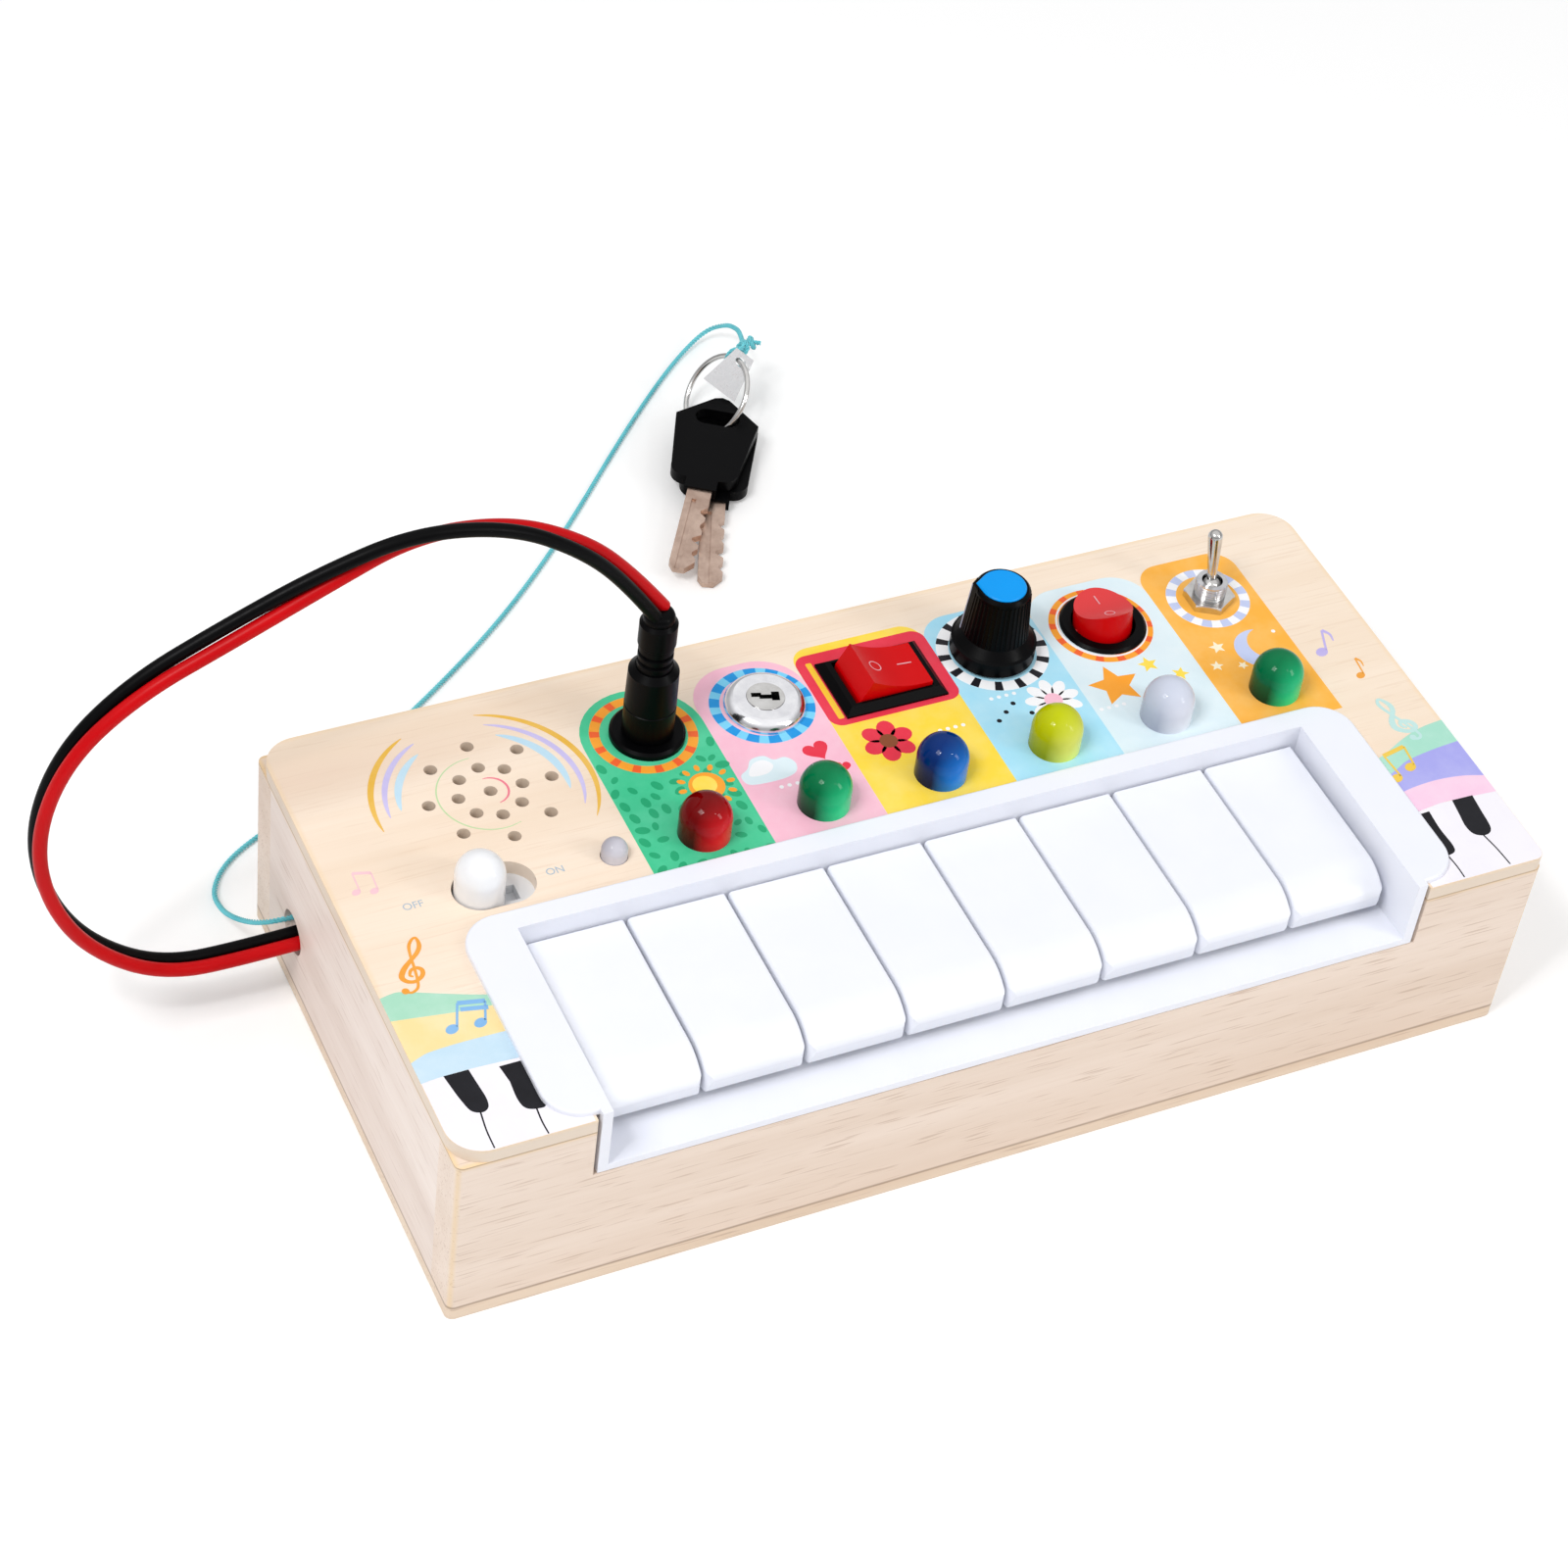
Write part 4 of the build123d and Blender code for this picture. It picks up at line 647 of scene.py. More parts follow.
def strokes(name, lines, level, ink):
    # Pen strokes of changing width: each line is a list of (x, y, width)
    low, high = film(level)
    climb = 0.00006      # keeps a stroke's crossings apart
    work = bmesh.new()
    for line in lines:
        smooth = smoothLoop(line, False, 8)
        rows = []
        for place, (x, y, width) in enumerate(smooth):
            ahead = smooth[min(place + 1, len(smooth) - 1)]
            behind = smooth[max(place - 1, 0)]
            along = Vector((ahead[0] - behind[0], ahead[1] - behind[1])).normalized()
            side = Vector((-along.y, along.x)) * width / 2
            left, right = (x + side.x, y + side.y), (x - side.x, y - side.y)
            top = high + climb * place
            rows.append([(*left, low), (*right, low), (*right, top), (*left, top)])
        addBar(work, rows)
    showPiece(name, finishMesh(name, work, Matrix.Scale(mm, 4)), "case", inks[ink])


# Each ink's colour, the paler one that it is washed with, and how much of that shows
inkLooks = {
    "green": ("45C894", "62D6A8", 0.6),
    "leaf": ("27A874", "35B582", 0.5),
    "pink": ("F9BFD3", "FCD3E1", 0.6),
    "yellow": ("FFDC45", "FFE680", 0.6),
    "sky": ("A9E2F8", "C4ECFB", 0.6),
    "pale": ("DDEFF6", "EAF6FA", 0.6),
    "orange": ("FDB544", "FFC873", 0.6),
    "white": ("FBFBFD", "F3F5FA", 0.5),
    "black": ("15151A", "24242A", 0.5),
    "ringOrange": ("FCA32E", "FDB34C", 0.4),
    "ringRed": ("F4622B", "F87745", 0.4),
    "ringBlue": ("1E96E0", "3BA6E8", 0.4),
    "ringCyan": ("7AD3F7", "97DEFA", 0.4),
    "borderRed": ("E8344A", "EE5366", 0.4),
    "borderYellow": ("FBC62E", "FCD357", 0.4),
    "zebraBlack": ("1B1A20", "2A2930", 0.4),
    "lavender": ("C2CDF0", "D3DBF6", 0.4),
    "clef": ("F0A03C", "F4B560", 0.5),
    "teal": ("BFE3DF", "D0ECE9", 0.5),
    "purple": ("BBAEE8", "CFC6EF", 0.5),
    "arcOrange": ("EBB948", "F2CC78", 0.5),
    "arcPurple": ("C9C0EE", "D9D3F3", 0.5),
    "arcBlue": ("BFE0F2", "D2EAF6", 0.5),
    "bandGreen": ("A9DCC2", "C2E7D4", 0.6),
    "bandYellow": ("F8DFA0", "FBE9BE", 0.6),
    "bandSky": ("C4DFF0", "D6E9F5", 0.6),
    "bandMint": ("A9DFCB", "C3E9DB", 0.6),
    "bandLilac": ("A9A9EC", "C0C0F2", 0.6),
    "bandPink": ("F7CDE6", "FADDEE", 0.6),
    "gold": ("F0C84A", "F4D676", 0.5),
    "pianoWhite": ("F5F2F8", "EFEBF4", 0.5),
    "arcGreen": ("BFDDA8", "D0E7BF", 0.5),
    "rose": ("EE7F92", "F398A8", 0.5),
    "cream": ("FFF3D2", "FFF9E6", 0.5),
    "noteBlue": ("7FB4E6", "98C4EC", 0.5),
    "palePink": ("F5C9D2", "F8D8DF", 0.5),
    "letter": ("A9BCCB", "B8C8D5", 0.4),
    "brown": ("8A4B2C", "9C5B3A", 0.4),
}
inks = {key: inkFinish("ink" + key[0].upper() + key[1:], *look) for key, look in inkLooks.items()}

rockerHole = [(-0.4, 24.1), (18.4, 24.1), (18.4, 36.9), (-0.4, 36.9)]
# Ink, left and right edge, back corner radii, front end and the hole under the control
strips = {
    "stripGreen": ("green", -51.1, -27.3, 11.8, -3.0, disc(-38.6, 31.2, 6.4)),
    "stripPink": ("pink", -27.3, -4.9, 9.0, -3.0, disc(-14.85, 31.2, 6.4)),
    "stripYellow": ("yellow", -4.9, 21.6, 3.8, -3.0, rockerHole),
    "stripSky": ("sky", 21.6, 44.2, 6.5, -3.0, disc(32.65, 31.2, 4.2)),
    "stripPale": ("pale", 44.2, 69.4, 7.0, -3.0, disc(56.8, 31.2, 7.8)),
    "stripOrange": ("orange", 69.4, 90.3, 5.0, -4.0, disc(80.15, 31.2, 3.4)),
}
stripBack = 43.0
lampHole = 4.7
for lampX, (name, (ink, left, right, radius, front, hole)) in zip(stationX, strips.items()):
    outline = roundedBox(left, right, front, stripBack, (0, 0, radius, radius))
    plate(name, [outline, hole, disc(lampX, station["lampY"], lampHole)], 0, ink)


def blockRingTree():
    tree, given, leaving = newTree("blockRing", ["Outer Radius", "Inner Radius", "Share", "Thickness", "Turn"],
                                   ["Blocks"], ["Place"])
    line = feed(tree, "GeometryNodeMeshLine", {"Count": given["Blocks"], "Offset": (1, 0, 0)})
    block = feed(tree, "GeometryNodeMeshCube", {"Size": (1, 1, 1), "Vertices X": 6})
    copies = copyOn(tree, line, block, Scale=join(tree, X=given["Share"], Y=1.0, Z=1.0))
    real = feed(tree, "GeometryNodeRealizeInstances", {"Geometry": copies})
    # The straight row of blocks is bent round the centre
    spot = split(tree, feed(tree, "GeometryNodeInputPosition"))
    share = calc(tree, "DIVIDE", times(tree, spot[0], 2 * math.pi), given["Blocks"])
    angle = minus(tree, given["Turn"], share)
    width = minus(tree, given["Outer Radius"], given["Inner Radius"])
    radius = plus(tree, given["Inner Radius"], times(tree, plus(tree, spot[1], 0.5), width))
    bent = join(tree, X=times(tree, radius, calc(tree, "COSINE", angle)),
                Y=times(tree, radius, calc(tree, "SINE", angle)),
                Z=times(tree, spot[2], given["Thickness"]))
    moved = feed(tree, "ShaderNodeVectorMath", {0: bent, 1: given["Place"]}, operation="ADD")
    curved = feed(tree, "GeometryNodeSetPosition", {"Geometry": real, "Position": moved})
    return finishTree(tree, curved, given, leaving)


def inLayer(x, y, level):
    # A tree's inputs for a place and a thickness in a printed layer
    low, high = film(level)
    return {"Place": (x * mm, y * mm, (low + high) / 2 * mm), "Thickness": (high - low) * mm}


blockRing = blockRingTree()

# Centre, outer and inner radius, ring ink, block ink, blocks, share of the ring in blocks, first block's angle
rings = {
    "socketRing": ((-39.2, 31.3), 10.1, 8.2, "ringOrange", "ringRed", 14, 0.36, 8),
    "lockRing": ((-15.2, 31.4), 10.0, 8.0, "ringCyan", "ringBlue", 14, 0.55, 4),
    "knobRing": ((32.9, 31.2), 10.9, 8.5, "white", "zebraBlack", 14, 0.34, 148),
    "roundRing": ((56.3, 31.0), 10.2, 8.3, "ringOrange", "ringRed", 14, 0.36, 10),
    "toggleRing": ((80.2, 31.3), 8.3, 6.3, "white", "lavender", 12, 0.5, 0),
}
blockMargin = 0.02      # how much narrower than its ring a block is on each side
ringSides = 72
for name, ((x, y), outer, inner, base, over, blocks, share, turn) in rings.items():
    plate(name, [disc(x, y, radius, count=ringSides) for radius in (outer, inner)], 1, base)
    mesh = growMesh(blockRing, {
        "Outer Radius": (outer - blockMargin) * mm, "Inner Radius": (inner + blockMargin) * mm, "Blocks": blocks,
        "Share": share, "Turn": math.radians(turn), "Material": inks[over], **inLayer(x, y, 2)})
    showPiece(name + "Blocks", mesh, "case")
plate("roundRingLine", [disc(56.5, 31.1, 9.0, count=ringSides), disc(56.6, 31.15, 8.65, count=ringSides)], 3,
      "white")
plate("rockerBorder", [roundedBox(-4.9, 22.1, 21.7, 41.1, (2.6,) * 4), rockerHole], 1, "borderRed")
plate("rockerBorderLine", [roundedBox(-3.0, -1.8, 23.5, 39.0, (0.3,) * 4)], 2, "borderYellow")
print("strips, rings and borders printed")


def leafScatterTree():
    tree, given, leaving = newTree("leafScatter", ["Jitter", "Ring Clear", "Lamp Clear"], ["Across", "Deep", "Seed"],
                                   ["Size", "Leaf", "Place", "Ring Centre", "Lamp Centre"])
    size = split(tree, given["Size"])
    grid = feed(tree, "GeometryNodeMeshGrid", {"Size X": size[0], "Size Y": size[1],
                                               "Vertices X": given["Across"], "Vertices Y": given["Deep"]})
    most = join(tree, X=given["Jitter"], Y=given["Jitter"])
    least = feed(tree, "ShaderNodeVectorMath", {0: most, 1: (-1, -1, 0)}, operation="MULTIPLY")
    shift = feed(tree, "FunctionNodeRandomValue", {0: least, 1: most, "Seed": given["Seed"]},
                 data_type="FLOAT_VECTOR")
    offset = feed(tree, "ShaderNodeVectorMath", {0: shift, 1: given["Place"]}, operation="ADD")
    loose = feed(tree, "GeometryNodeSetPosition", {"Geometry": grid, "Offset": offset})
    spot = feed(tree, "GeometryNodeInputPosition")
    near = []
    for place in ("Ring", "Lamp"):
        gap = addNode(tree, "ShaderNodeVectorMath", {0: spot, 1: given[place + " Centre"]}, operation="DISTANCE")
        near.append(calc(tree, "LESS_THAN", gap.outputs["Value"], given[place + " Clear"]))
    kept = feed(tree, "GeometryNodeDeleteGeometry", {"Geometry": loose, "Selection": calc(tree, "MAXIMUM", *near)},
                domain="POINT")
    leaf = feed(tree, "GeometryNodeMeshCylinder", {"Vertices": 12, "Radius": 1.0, "Depth": 1.0})
    shaped = placed(tree, leaf, (0, 0, 0), given["Leaf"])
    angle = addNode(tree, "FunctionNodeRandomValue", {2: 0.0, 3: 2 * math.pi, "Seed": given["Seed"]},
                    data_type="FLOAT").outputs[1]
    swell = addNode(tree, "FunctionNodeRandomValue", {2: 0.75, 3: 1.2, "Seed": given["Seed"], "ID": 7},
                    data_type="FLOAT").outputs[1]
    return finishTree(tree, copyOn(tree, kept, shaped, Rotation=join(tree, Z=angle), Scale=swell), given, leaving)


def petalRoundTree():
    tree, given, leaving = newTree("petalRound", ["Start", "Length", "Width", "Thickness", "Turn"],
                                   ["Count", "Corners"], ["Place"])
    half = calc(tree, "DIVIDE", given["Length"], 2.0)
    petal = feed(tree, "GeometryNodeMeshCylinder", {"Vertices": given["Corners"], "Radius": 1.0, "Depth": 1.0})
    size = join(tree, X=half, Y=calc(tree, "DIVIDE", given["Width"], 2.0), Z=given["Thickness"])
    shaped = placed(tree, petal, join(tree, X=plus(tree, given["Start"], half)), size)
    around = roundAbout(tree, given["Count"], given["Turn"], shaped)
    return finishTree(tree, placed(tree, around, given["Place"]), given, leaving)


leafScatter = leafScatterTree()
petalRound = petalRoundTree()

# Leaves fill the green strip but for what is within the clear distance of the ring's and the lamp's middle
leafSpot = inLayer(-39.2, 13.8, 1)
leafLook = {
    "Size": (20.5 * mm, 31.0 * mm, 0), "Across": 7, "Deep": 10, "Jitter": 0.75 * mm, "Seed": 11,
    "Leaf": (1.2 * mm, 0.75 * mm, leafSpot["Thickness"]), "Place": leafSpot["Place"],
    "Ring Centre": (-39.2 * mm, 31.3 * mm, leafSpot["Place"][2]), "Ring Clear": 11.8 * mm,
    "Lamp Centre": (-38.6 * mm, 4.75 * mm, leafSpot["Place"][2]), "Lamp Clear": 6.4 * mm,
}
showPiece("leafPrint", growMesh(leafScatter, {**leafLook, "Material": inks["leaf"]}), "case")


def petals(name, centre, count, start, length, width, level, ink, turn=0.0, corners=16):
    mesh = growMesh(petalRound, {
        "Count": count, "Start": start * mm, "Length": length * mm, "Width": width * mm, "Corners": corners,
        "Turn": math.radians(turn), "Material": inks[ink], **inLayer(*centre, level)})
    showPiece(name, mesh, "case")


def star(x, y, outer, inner, turn=90.0, tips=5):
    loop = []
    for part in range(2 * tips):
        radius = inner if part % 2 else outer
        angle = math.radians(turn + 180 * part / tips)
        loop.append((x + radius * math.cos(angle), y + radius * math.sin(angle)))
    return loop


def heart(x, y, size, turn=0.0, count=28):
    loop = []
    for part in range(count):
        t = 2 * math.pi * part / count
        up = size * (13 * math.cos(t) - 5 * math.cos(2 * t) - 2 * math.cos(3 * t) - math.cos(4 * t)) / 16
        loop.append((size * math.sin(t) ** 3, up))
    return turned(x, y, turn, loop)


def crescent(x, y, outer, inner, shift, turn):
    # The part of a disc that a smaller disc, moved towards the turn angle, doesn't cover
    middle = (outer ** 2 - inner ** 2 + shift ** 2) / (2 * shift)
    reach = math.degrees(math.acos(middle / outer))
    inside = math.degrees(math.acos((middle - shift) / inner))
    loop = arc(x, y, outer, turn + reach, turn + 360 - reach, 34)
    hollowX = x + shift * math.cos(math.radians(turn))
    hollowY = y + shift * math.sin(math.radians(turn))
    return loop + arc(hollowX, hollowY, inner, turn + 360 - inside, turn + inside, 26)[1:-1]


# Plain pictures between the rings and the lamps
spots = {"sun": (-33.4, 15.4), "sunGlow": (-33.7, 15.7), "cloud": (-21.0, 15.6), "flower": (3.4, 15.4),
         "daisy": (38.0, 15.4)}
petals("sunRays", spots["sun"], 12, 3.9, 1.7, 1.1, 2, "ringOrange", 0, 8)
plate("sunFace", [disc(*spots["sun"], 3.4)], 3, "ringOrange")
plate("sunGlow", [disc(*spots["sunGlow"], 2.3)], 4, "yellow")
cloudShape = [(-4.9, -2.4), (-5.5, 0.0), (-3.6, 1.4), (-2.1, 3.4), (0.5, 3.6), (2.0, 2.1), (4.2, 2.1), (5.5, 0.3),
              (4.9, -1.8), (2.8, -2.8), (-1.0, -3.0)]
cloudInner = [(-3.9, -0.5), (-2.4, 2.1), (0.0, 2.6), (1.3, 0.8), (-0.5, -0.8)]
for name, shape, level, ink in (("cloudPuffs", cloudShape, 1, "pale"), ("cloudTop", cloudInner, 2, "white")):
    plate(name, [smoothLoop([(spots["cloud"][0] + x, spots["cloud"][1] + y) for x, y in shape])], level, ink)
plate("heartPrints", [heart(-10.4, 17.4, 2.6, 12), heart(-7.6, 12.0, 1.6, -14), heart(-13.4, 11.8, 1.2, 6)], 1,
      "borderRed")
petals("flowerPetals", spots["flower"], 6, 0.9, 4.4, 3.6, 1, "borderRed", 15)
plate("flowerHeart", [disc(*spots["flower"], 1.75)], 2, "brown")
petals("daisyPetals", spots["daisy"], 9, 1.2, 4.4, 2.5, 1, "white", 8)
plate("daisyHeart", [disc(*spots["daisy"], 1.8)], 2, "pink")
plate("daisyDots", [disc(25.6 + 2.3 * place, 13.6 + 1.7 * (place % 3), 0.5, count=14) for place in range(4)], 1,
      "black")
plate("bigStar", [star(51.3, 15.2, 5.4, 2.6)], 1, "ringOrange")
plate("smallStars", [star(60.0, 18.4, 2.1, 0.95), star(64.8, 14.2, 1.8, 0.8, 60), star(58.8, 12.3, 1.4, 0.65, 75)],
      1, "yellow")
plate("moonPrint", [crescent(83.3, 15.6, 5.2, 4.35, 2.5, 20)], 1, "lavender")
plate("moonStars", [star(75.2, 18.4, 1.7, 0.75), star(72.6, 13.8, 1.4, 0.6, 70), star(77.6, 12.4, 1.1, 0.5, 40)],
      1, "cream")
# First dot of each row and how many there are
dotRows = {(-20.5, 10.8): 4, (13.8, 14.8): 4, (26.8, 19.4): 4, (45.6, 10.2): 4, (88.0, 19.0): 1}
plate("whiteDots", [disc(x + 1.6 * place, y, 0.42, count=14) for (x, y), count in dotRows.items()
                    for place in range(count)], 1, "white")
print("pictures printed")


def sweepArc(x, y, radius, start, end, width, count=14):
    # An arc that starts and ends in a point
    return [(*point, 0.12 + width * math.sin(math.pi * part / count) ** 0.6)
            for part, point in enumerate(arc(x, y, radius, start, end, count))]


soundCentre = (-72.4, 26.0)
# Radius, then start, end and width of the arc on each side of the loudspeaker
soundArcs = {
    "arcOrange": (20.5, (188, 117, 1.05), (-33, 75, 1.05)),
    "arcPurple": (18.0, (180, 115, 1.0), (-25, 70, 1.0)),
    "arcBlue": (15.6, (176, 120, 1.3), (-12, 62, 1.5)),
}
for name, (radius, *sides) in soundArcs.items():
    strokes(name, [sweepArc(*soundCentre, radius, *side) for side in sides], 0, name)
strokes("arcGreen", [sweepArc(-71.8, 26.5, 9.2, 90, 290, 0.15)], 0, "arcGreen")
strokes("arcRose", [sweepArc(-71.1, 26.7, 3.3, 95, -80, 0.3)], 0, "rose")

# A clef of height 1: across, up and the width of the pen
clefShape = [
    (0.00, 0.30, 0.035), (-0.05, 0.34, 0.05), (-0.03, 0.42, 0.06), (0.05, 0.44, 0.07), (0.13, 0.38, 0.08),
    (0.13, 0.28, 0.08), (0.03, 0.21, 0.07), (-0.09, 0.24, 0.08), (-0.17, 0.34, 0.10), (-0.13, 0.47, 0.10),
    (-0.03, 0.59, 0.08), (0.07, 0.70, 0.08), (0.11, 0.82, 0.08), (0.07, 0.96, 0.05), (0.01, 0.96, 0.05),
    (-0.04, 0.86, 0.06), (-0.03, 0.70, 0.05), (0.02, 0.45, 0.05), (0.06, 0.20, 0.05), (0.05, 0.08, 0.05),
    (-0.03, 0.03, 0.05), (-0.10, 0.06, 0.05),
]


def makeClef(name, x, y, height, lean, ink, weight=1.0):
    line = [(x + height * u + lean * v, y + height * v, height * w * weight) for u, v, w in clefShape]
    strokes(name, [line], 1, ink)
    plate(name + "Ball", [disc(x - 0.1 * height, y + 0.08 * height, 0.055 * height)], 1, ink)


# The flag is given as steps across and up from the stem's end, with the width of the pen
noteLook = {"head": 0.95, "wide": 1.3, "turn": 25, "stem": 0.42, "stemFoot": 0.3, "beam": 0.95, "beamGap": 1.5,
            "flag": [(0.0, 0.0, 0.8), (0.9, -1.3, 0.5), (0.7, -3.0, 0.25)]}


def makeNotes(name, heads, tops, ink, beams=1, level=2, size=1.0):
    # Note heads and their stems, with beams that join two of them or a flag on a single one
    plate(name + "Heads", [disc(x, y, noteLook["head"] * size, noteLook["wide"], noteLook["turn"]) for x, y in heads],
          level, ink)
    stem = noteLook["stem"] * size
    lines = [[(x + size, y + noteLook["stemFoot"], stem), (*top, stem)] for (x, y), top in zip(heads, tops)]
    if len(tops) > 1:
        for beam in range(beams):
            lines.append([(x, y - noteLook["beamGap"] * size * beam, noteLook["beam"] * size) for x, y in tops])
    else:
        x, y = tops[0]
        lines.append([(x + size * u, y + size * v, size * w) for u, v, w in noteLook["flag"]])
    strokes(name + "Stems", lines, level, ink)


makeClef("clefOrange", -101.0, -14.4, 12.4, 4.0, "clef", 0.8)
makeNotes("pinkNotes", [(-102.3, 11.0), (-99.2, 10.3)], [(-101.5, 15.5), (-98.3, 14.6)], "palePink", 1, 0, 0.7)

# The edges between the coloured bands beside the keyboard, from the back to the front
leftEdges = [
    [(-107.0, -13.6), (-105.0, -13.2), (-103.0, -13.3), (-98.0, -15.3), (-93.0, -17.3), (-88.8, -18.8)],
    [(-107.0, -19.0), (-104.0, -19.4), (-100.0, -20.0), (-95.0, -20.7), (-88.8, -21.2)],
    [(-107.0, -28.8), (-105.0, -28.0), (-103.0, -27.5), (-97.0, -27.2), (-88.8, -27.3)],
    [(-107.0, -33.6), (-104.0, -33.3), (-98.0, -33.2), (-88.8, -33.6)],
]
rightEdges = [
    [(88.8, -18.6), (92.0, -17.5), (97.0, -15.2), (102.0, -13.6), (107.0, -13.0)],
    [(88.8, -23.2), (92.0, -21.8), (95.0, -20.5), (101.0, -19.5), (107.0, -19.0)],
    [(88.8, -27.7), (93.0, -27.0), (98.0, -26.8), (103.0, -27.4), (107.0, -28.6)],
    [(88.8, -33.1), (95.0, -32.3), (101.0, -32.6), (107.0, -33.0)],
]
for names, edges in ((("bandGreen", "bandYellow", "bandSky"), leftEdges),
                     (("bandMint", "bandLilac", "bandPink"), rightEdges)):
    for name, back, front in zip(names, edges, edges[1:]):
        plate(name, [smoothLoop(back, False, 5) + smoothLoop(front, False, 5)[::-1]], 0, name)

# The film runs under the flange, whose corner is round, and follows the corner of the lid
underFlange = [(88.0, -33.6), (85.0, -43.5), (82.4, -46.0), (82.4, -50.65)]
pianoBack = [(106.95, -33.0), (101.0, -32.6), (95.0, -32.3), (88.0, -33.1)]
plate("pianoLeft", [[(-106.95, -33.6), (-104.0, -33.3), (-98.0, -33.2)] + [(-x, y) for x, y in underFlange]
                    + arc(-100.5, -44.25, 6.45, 270, 180, 10)], 0, "pianoWhite")
plate("pianoRight", [pianoBack + underFlange + arc(105.0, -48.75, 1.95, -90, 0, 8)], 0, "pianoWhite")
plate("pianoBlackLeft", [
    [(-102.9, -33.25)] + smoothLoop([(-98.4, -33.25), (-98.1, -36.5), (-97.8, -40.0), (-98.2, -42.0), (-99.5, -42.7),
                                     (-101.2, -41.8), (-102.0, -39.0), (-102.5, -36.0)], False),
    [(-93.3, -34.3)] + smoothLoop([(-88.6, -34.3), (-88.6, -39.0), (-88.8, -44.4), (-90.5, -45.0), (-92.4, -44.2),
                                   (-93.0, -42.0), (-92.8, -38.0)], False),
], 1, "black")
plate("pianoBlackRight", [
    [(88.6, -33.7)] + smoothLoop([(91.9, -33.5), (91.5, -38.0), (91.6, -42.5), (90.9, -44.2), (88.6, -44.6)], False),
    [(97.6, -32.4)] + smoothLoop([(102.0, -32.5), (101.5, -36.5), (101.0, -40.5), (100.0, -42.0), (98.4, -42.2),
                                  (96.9, -41.2), (96.5, -39.0), (97.0, -36.0)], False),
], 1, "black")
strokes("pianoGaps", [
    [(-99.8, -42.4, 0.3), (-100.3, -46.5, 0.28), (-100.4, -50.5, 0.26)],
    [(-90.7, -44.8, 0.3), (-90.9, -47.8, 0.28), (-90.8, -50.6, 0.26)],
    [(89.3, -44.4, 0.3), (89.5, -47.5, 0.28), (89.4, -50.3, 0.26)],
    [(98.5, -42.0, 0.3), (99.1, -46.0, 0.28), (99.4, -50.2, 0.26)],
], 1, "black")
makeNotes("blueNotes", [(-97.8, -24.0), (-92.7, -24.2)], [(-94.9, -18.8), (-90.2, -19.8)], "noteBlue", 2)
makeNotes("goldNotes", [(90.6, -24.0), (94.6, -22.2)], [(91.2, -18.0), (96.2, -17.0)], "gold", 1)
makeNotes("purpleNote", [(94.3, 10.8)], [(97.3, 16.2)], "purple", 1, 0, 1.1)
makeNotes("orangeNote", [(98.3, 2.7)], [(99.6, 7.2)], "clef", 1, 0, 0.8)
makeClef("clefTeal", 100.5, -16.4, 12.4, -3.0, "teal")


def letters(name, text, x, y, height):
    # Capitals of the plain built-in lettering, which are 0.7 of its size high
    data = bpy.data.curves.new(name, "FONT")
    data.body = text
    data.size = height / 0.7
    showPiece(name, filmMesh(name, data, 0, x, y), "case", inks["letter"])


letters("wordOff", "OFF", -96.0, 4.2, 1.55)
letters("wordOn", "ON", -69.2, 4.0, 1.55)
print("music motifs printed")


def hollowTop(middle, radius, axis):
    # The height of a paddle's top, which is hollow along one axis
    return lambda *point: middle + radius - math.sqrt(radius ** 2 - point[axis] ** 2)


def paddleMark(name, loops, body, place, turn, top):
    # Marks laid on a paddle's hollow top: outlines in the paddle's own millimetres
    sunk, raised = -0.05, 0.04
    work = bmesh.new()
    for inner, outer in loops:
        addBar(work, [[(*point, top(*point) + rise) for point, rise in (
            (first, sunk), (second, sunk), (second, raised), (first, raised))]
            for first, second in zip(inner, outer)], False)
    matrix = Matrix.Translation(Vector(place) * mm) @ turn @ Matrix.Scale(mm, 4)
    showPiece(name, finishMesh(name, work, matrix), body, markWhite)


def ringMark(x, y, inner, outer):
    return disc(x, y, inner, count=30), disc(x, y, outer, count=30)


def dash(x0, y0, x1, y1, width, count=8):
    # A bar as two matching rows of points along its sides
    along = Vector((x1 - x0, y1 - y0))
    side = Vector((-along.y, along.x)).normalized() * width / 2
    steps = [part / count for part in range(count + 1)]
    return tuple([(x0 + along.x * step + out * side.x, y0 + along.y * step + out * side.y) for step in steps]
                 for out in (1, -1))


markWhite = plasticFinish("markWhite", "E9A9B1", "E298A2", 0.4)
# Each paddle's marks, its axle's middle, how many degrees it leans at rest, and its hollow top: the height of
# the lowest line above the axle and the radius, for the round one from half its width and its depth
rockerMarks = {"marks": (ringMark(-3.3, 0.0, 1.1, 1.32), dash(1.9, 0.45, 4.9, 0.45, 0.27)),
               "axle": (9.0, 30.5, 42.5), "lean": 15, "middle": 4.9, "hollow": 20.05}
roundMarks = {"marks": (ringMark(0.0, -2.6, 0.85, 1.06), dash(0.0, 1.4, 0.0, 3.8, 0.25)),
              "axle": (56.8, 31.2, 43.5), "lean": -13, "middle": 4.1, "hollow": (5.7 ** 2 + 1.3 ** 2) / (2 * 1.3)}
for name, body, look, axis, across in (("rockerMarks", "rocker", rockerMarks, "Y", 0),
                                       ("roundRockerMarks", "round_rocker", roundMarks, "X", 1)):
    paddleMark(name, look["marks"], body, look["axle"], Matrix.Rotation(math.radians(look["lean"]), 4, axis),
               hollowTop(look["middle"], look["hollow"], across))


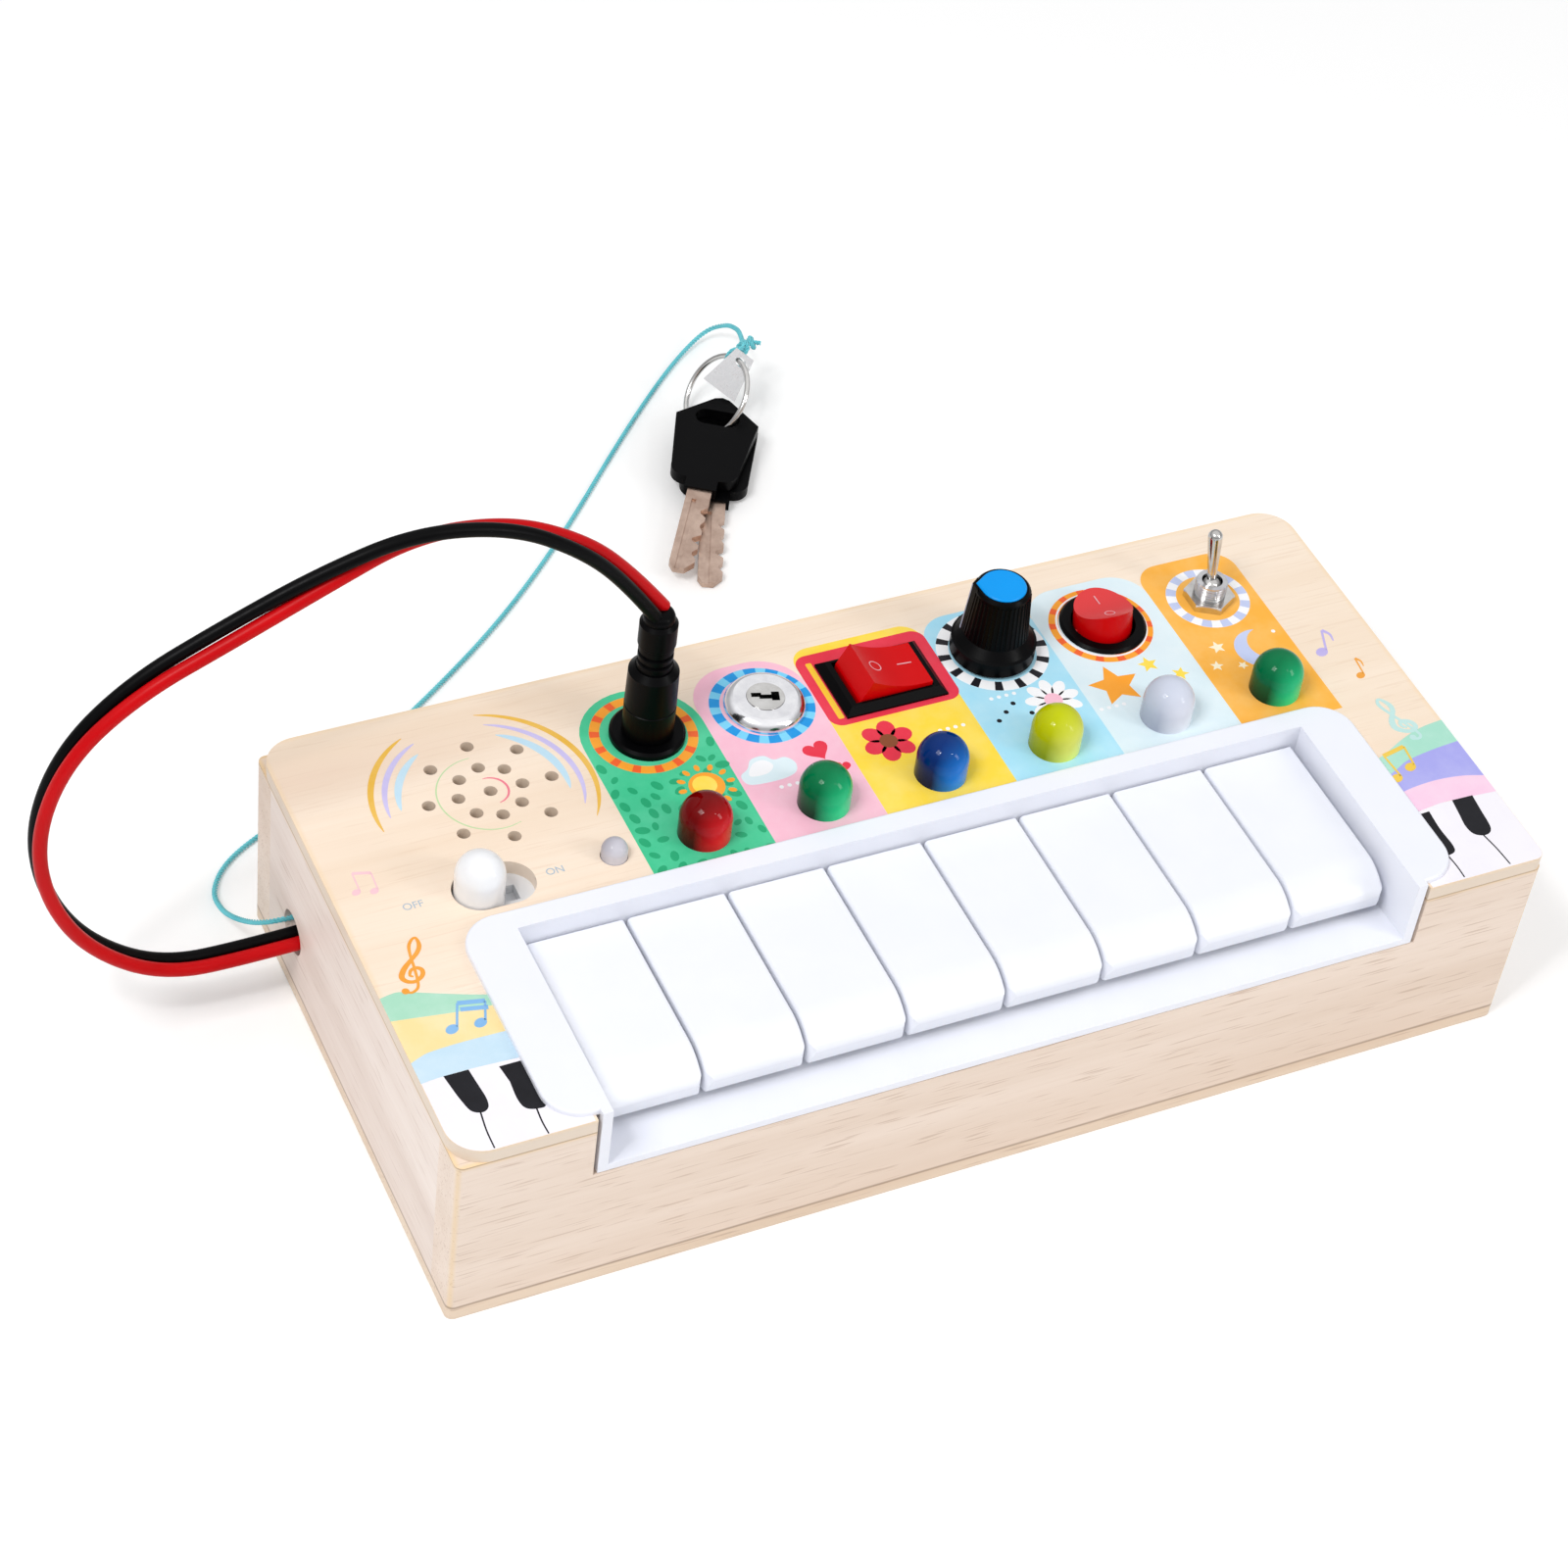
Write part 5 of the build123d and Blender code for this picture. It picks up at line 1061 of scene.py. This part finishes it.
def fluteTree():
    tree, given, leaving = newTree("knobFlutes", ["Low Radius", "High Radius", "Low", "High", "Rib"], ["Count"],
                                   ["Place"])
    low = join(tree, X=given["Low Radius"], Z=given["Low"])
    high = join(tree, X=given["High Radius"], Z=given["High"])
    line = feed(tree, "GeometryNodeCurvePrimitiveLine", {"Start": low, "End": high})
    around = roundAbout(tree, given["Count"], 0.0, sweep(tree, line, circle(tree, 8, given["Rib"])))
    return finishTree(tree, placed(tree, around, given["Place"]), given, leaving)


def threadTree():
    tree, given, leaving = newTree("bushThread", ["Radius", "Pitch", "Crest"], ["Turns"], ["Place"])
    line = feed(tree, "GeometryNodeMeshLine", {"Count": given["Turns"], "Offset": join(tree, Z=given["Pitch"])})
    crest = sweep(tree, circle(tree, 36, given["Radius"]), circle(tree, 6, given["Crest"]), False)
    return finishTree(tree, placed(tree, copyOn(tree, line, crest), given["Place"]), given, leaving)


knobMiddle = (32.65 * mm, 31.2 * mm, 0)
fluteLook = {"Count": 40, "Low Radius": 6.12 * mm, "High Radius": 5.3 * mm, "Low": 49.8 * mm, "High": 59.6 * mm,
             "Rib": 0.22 * mm, "Place": knobMiddle}
threadLook = {"Turns": 5, "Radius": 3.0 * mm, "Pitch": 0.55 * mm, "Crest": 0.16 * mm,
              "Place": (stationX[5] * mm, station["controlY"] * mm, 46.2 * mm)}
pointerAngle = 153.0
# Height, distance from the knob's middle and width of the pale line along its ridge
pointerLook = [(60.62, 5.9, 0.5), (55.0, 6.34, 0.5), (49.3, 6.79, 0.55)]


def ribPiece(name, tree, look, body, slot):
    mesh = growMesh(tree, {**look, "Material": finishes[slot]})
    showPiece(name, smoothShade(mesh), body)


def makePointer():
    work = bmesh.new()
    addBar(work, [[(out, side * width / 2, height) for out, side in (
        (radius - 0.6, 1), (radius - 0.6, -1), (radius, -0.7), (radius, 0.7))]
        for height, radius, width in pointerLook])
    spin = Matrix.Rotation(math.radians(pointerAngle), 4, "Z")
    mesh = finishMesh("knobPointer", work, Matrix.Translation(knobMiddle) @ spin @ Matrix.Scale(mm, 4))
    showPiece("knobPointer", mesh, "knob", plasticFinish("pointerGrey", "B4BCD2", "9FA8C0", 0.4))


ribPiece("knobFlutes", fluteTree(), fluteLook, "knob", "black_plastic")
makePointer()
ribPiece("bushThread", threadTree(), threadLook, "case", "pot_metal")
print("marks, flutes and thread in place")


floorGlow = 0.14      # what the camera sees on top of the light that falls on the floor


def floorFinish():
    # Nearly white paper that looks a little brighter to the camera, and still takes the shadow
    material, tree, shader, place = newFinish("studioFloor", Roughness=0.9, Specular_IOR_Level=0.1,
                                              Emission_Color=(1, 1, 1, 1))
    seen = addNode(tree, "ShaderNodeLightPath").outputs["Is Camera Ray"]
    tree.links.new(times(tree, seen, floorGlow), shader.inputs["Emission Strength"])
    tree.links.new(vary(tree, cloud(tree, place, 3.0, 2.0), "F6F6F6", "F8F8F8"), shader.inputs["Base Color"])
    return material


def makeFloor():
    half, drop = 6.0, -0.0001
    mesh = bpy.data.meshes.new("studioFloor")
    mesh.from_pydata([(-half, -half, drop), (half, -half, drop), (half, half, drop), (-half, half, drop)], [],
                     [(0, 1, 2, 3)])
    mesh.materials.append(floorFinish())
    floor = bpy.data.objects.new("studioFloor", mesh)
    scene.collection.objects.link(floor)


# Angle from the front towards the right, elevation, distance, size and power
studio = {
    "mainLight": (-74, 56, 1.1, (0.34, 0.34), 3.9),
    "sideLight": (44, 29, 1.1, (0.22, 0.42), 2.4),
    "sparkLight": (-60, 58, 1.1, (0.06, 0.06), 1.0),
    "rimLight": (30, 50, 1.1, (0.04, 0.08), 0.5),
}


def makeLights():
    for name, (around, elevation, distance, size, power) in studio.items():
        data = bpy.data.lights.new(name, "AREA")
        data.shape = "RECTANGLE"
        data.size, data.size_y = size
        data.energy = power
        light = bpy.data.objects.new(name, data)
        across, up = math.radians(around), math.radians(elevation)
        away = Vector((math.sin(across) * math.cos(up), -math.cos(across) * math.cos(up), math.sin(up)))
        light.location = away * distance
        light.rotation_euler = away.to_track_quat("Z", "Y").to_euler()
        scene.collection.objects.link(light)


def makeWorld():
    # A soft room, brighter overhead, that glossy parts see with more contrast and the camera as white
    world = bpy.data.worlds.new("studioWorld")
    scene.world = world
    world.use_nodes = True
    tree = world.node_tree
    tree.nodes.clear()
    path = addNode(tree, "ShaderNodeLightPath").outputs
    up = split(tree, addNode(tree, "ShaderNodeTexCoord").outputs["Generated"])[2]
    room = vary(tree, spread(tree, up, 0.0, 0.9), (0.4, 0.4, 0.405, 1), (0.7, 0.7, 0.7, 1))
    bright = vary(tree, spread(tree, up, 0.35, 0.75), (0.45, 0.45, 0.46, 1), (1.0, 1.0, 1.01, 1))
    colour = vary(tree, path["Is Glossy Ray"], room, bright)
    seen = calc(tree, "MAXIMUM", path["Is Camera Ray"], path["Is Transmission Ray"])
    back = feed(tree, "ShaderNodeBackground", {"Color": vary(tree, seen, colour, (1, 1, 1, 1)), "Strength": 1.0})
    output = addNode(tree, "ShaderNodeOutputWorld")
    tree.links.new(back, output.inputs["Surface"])


makeFloor()
makeLights()
makeWorld()
print("floor, lights and world ready")
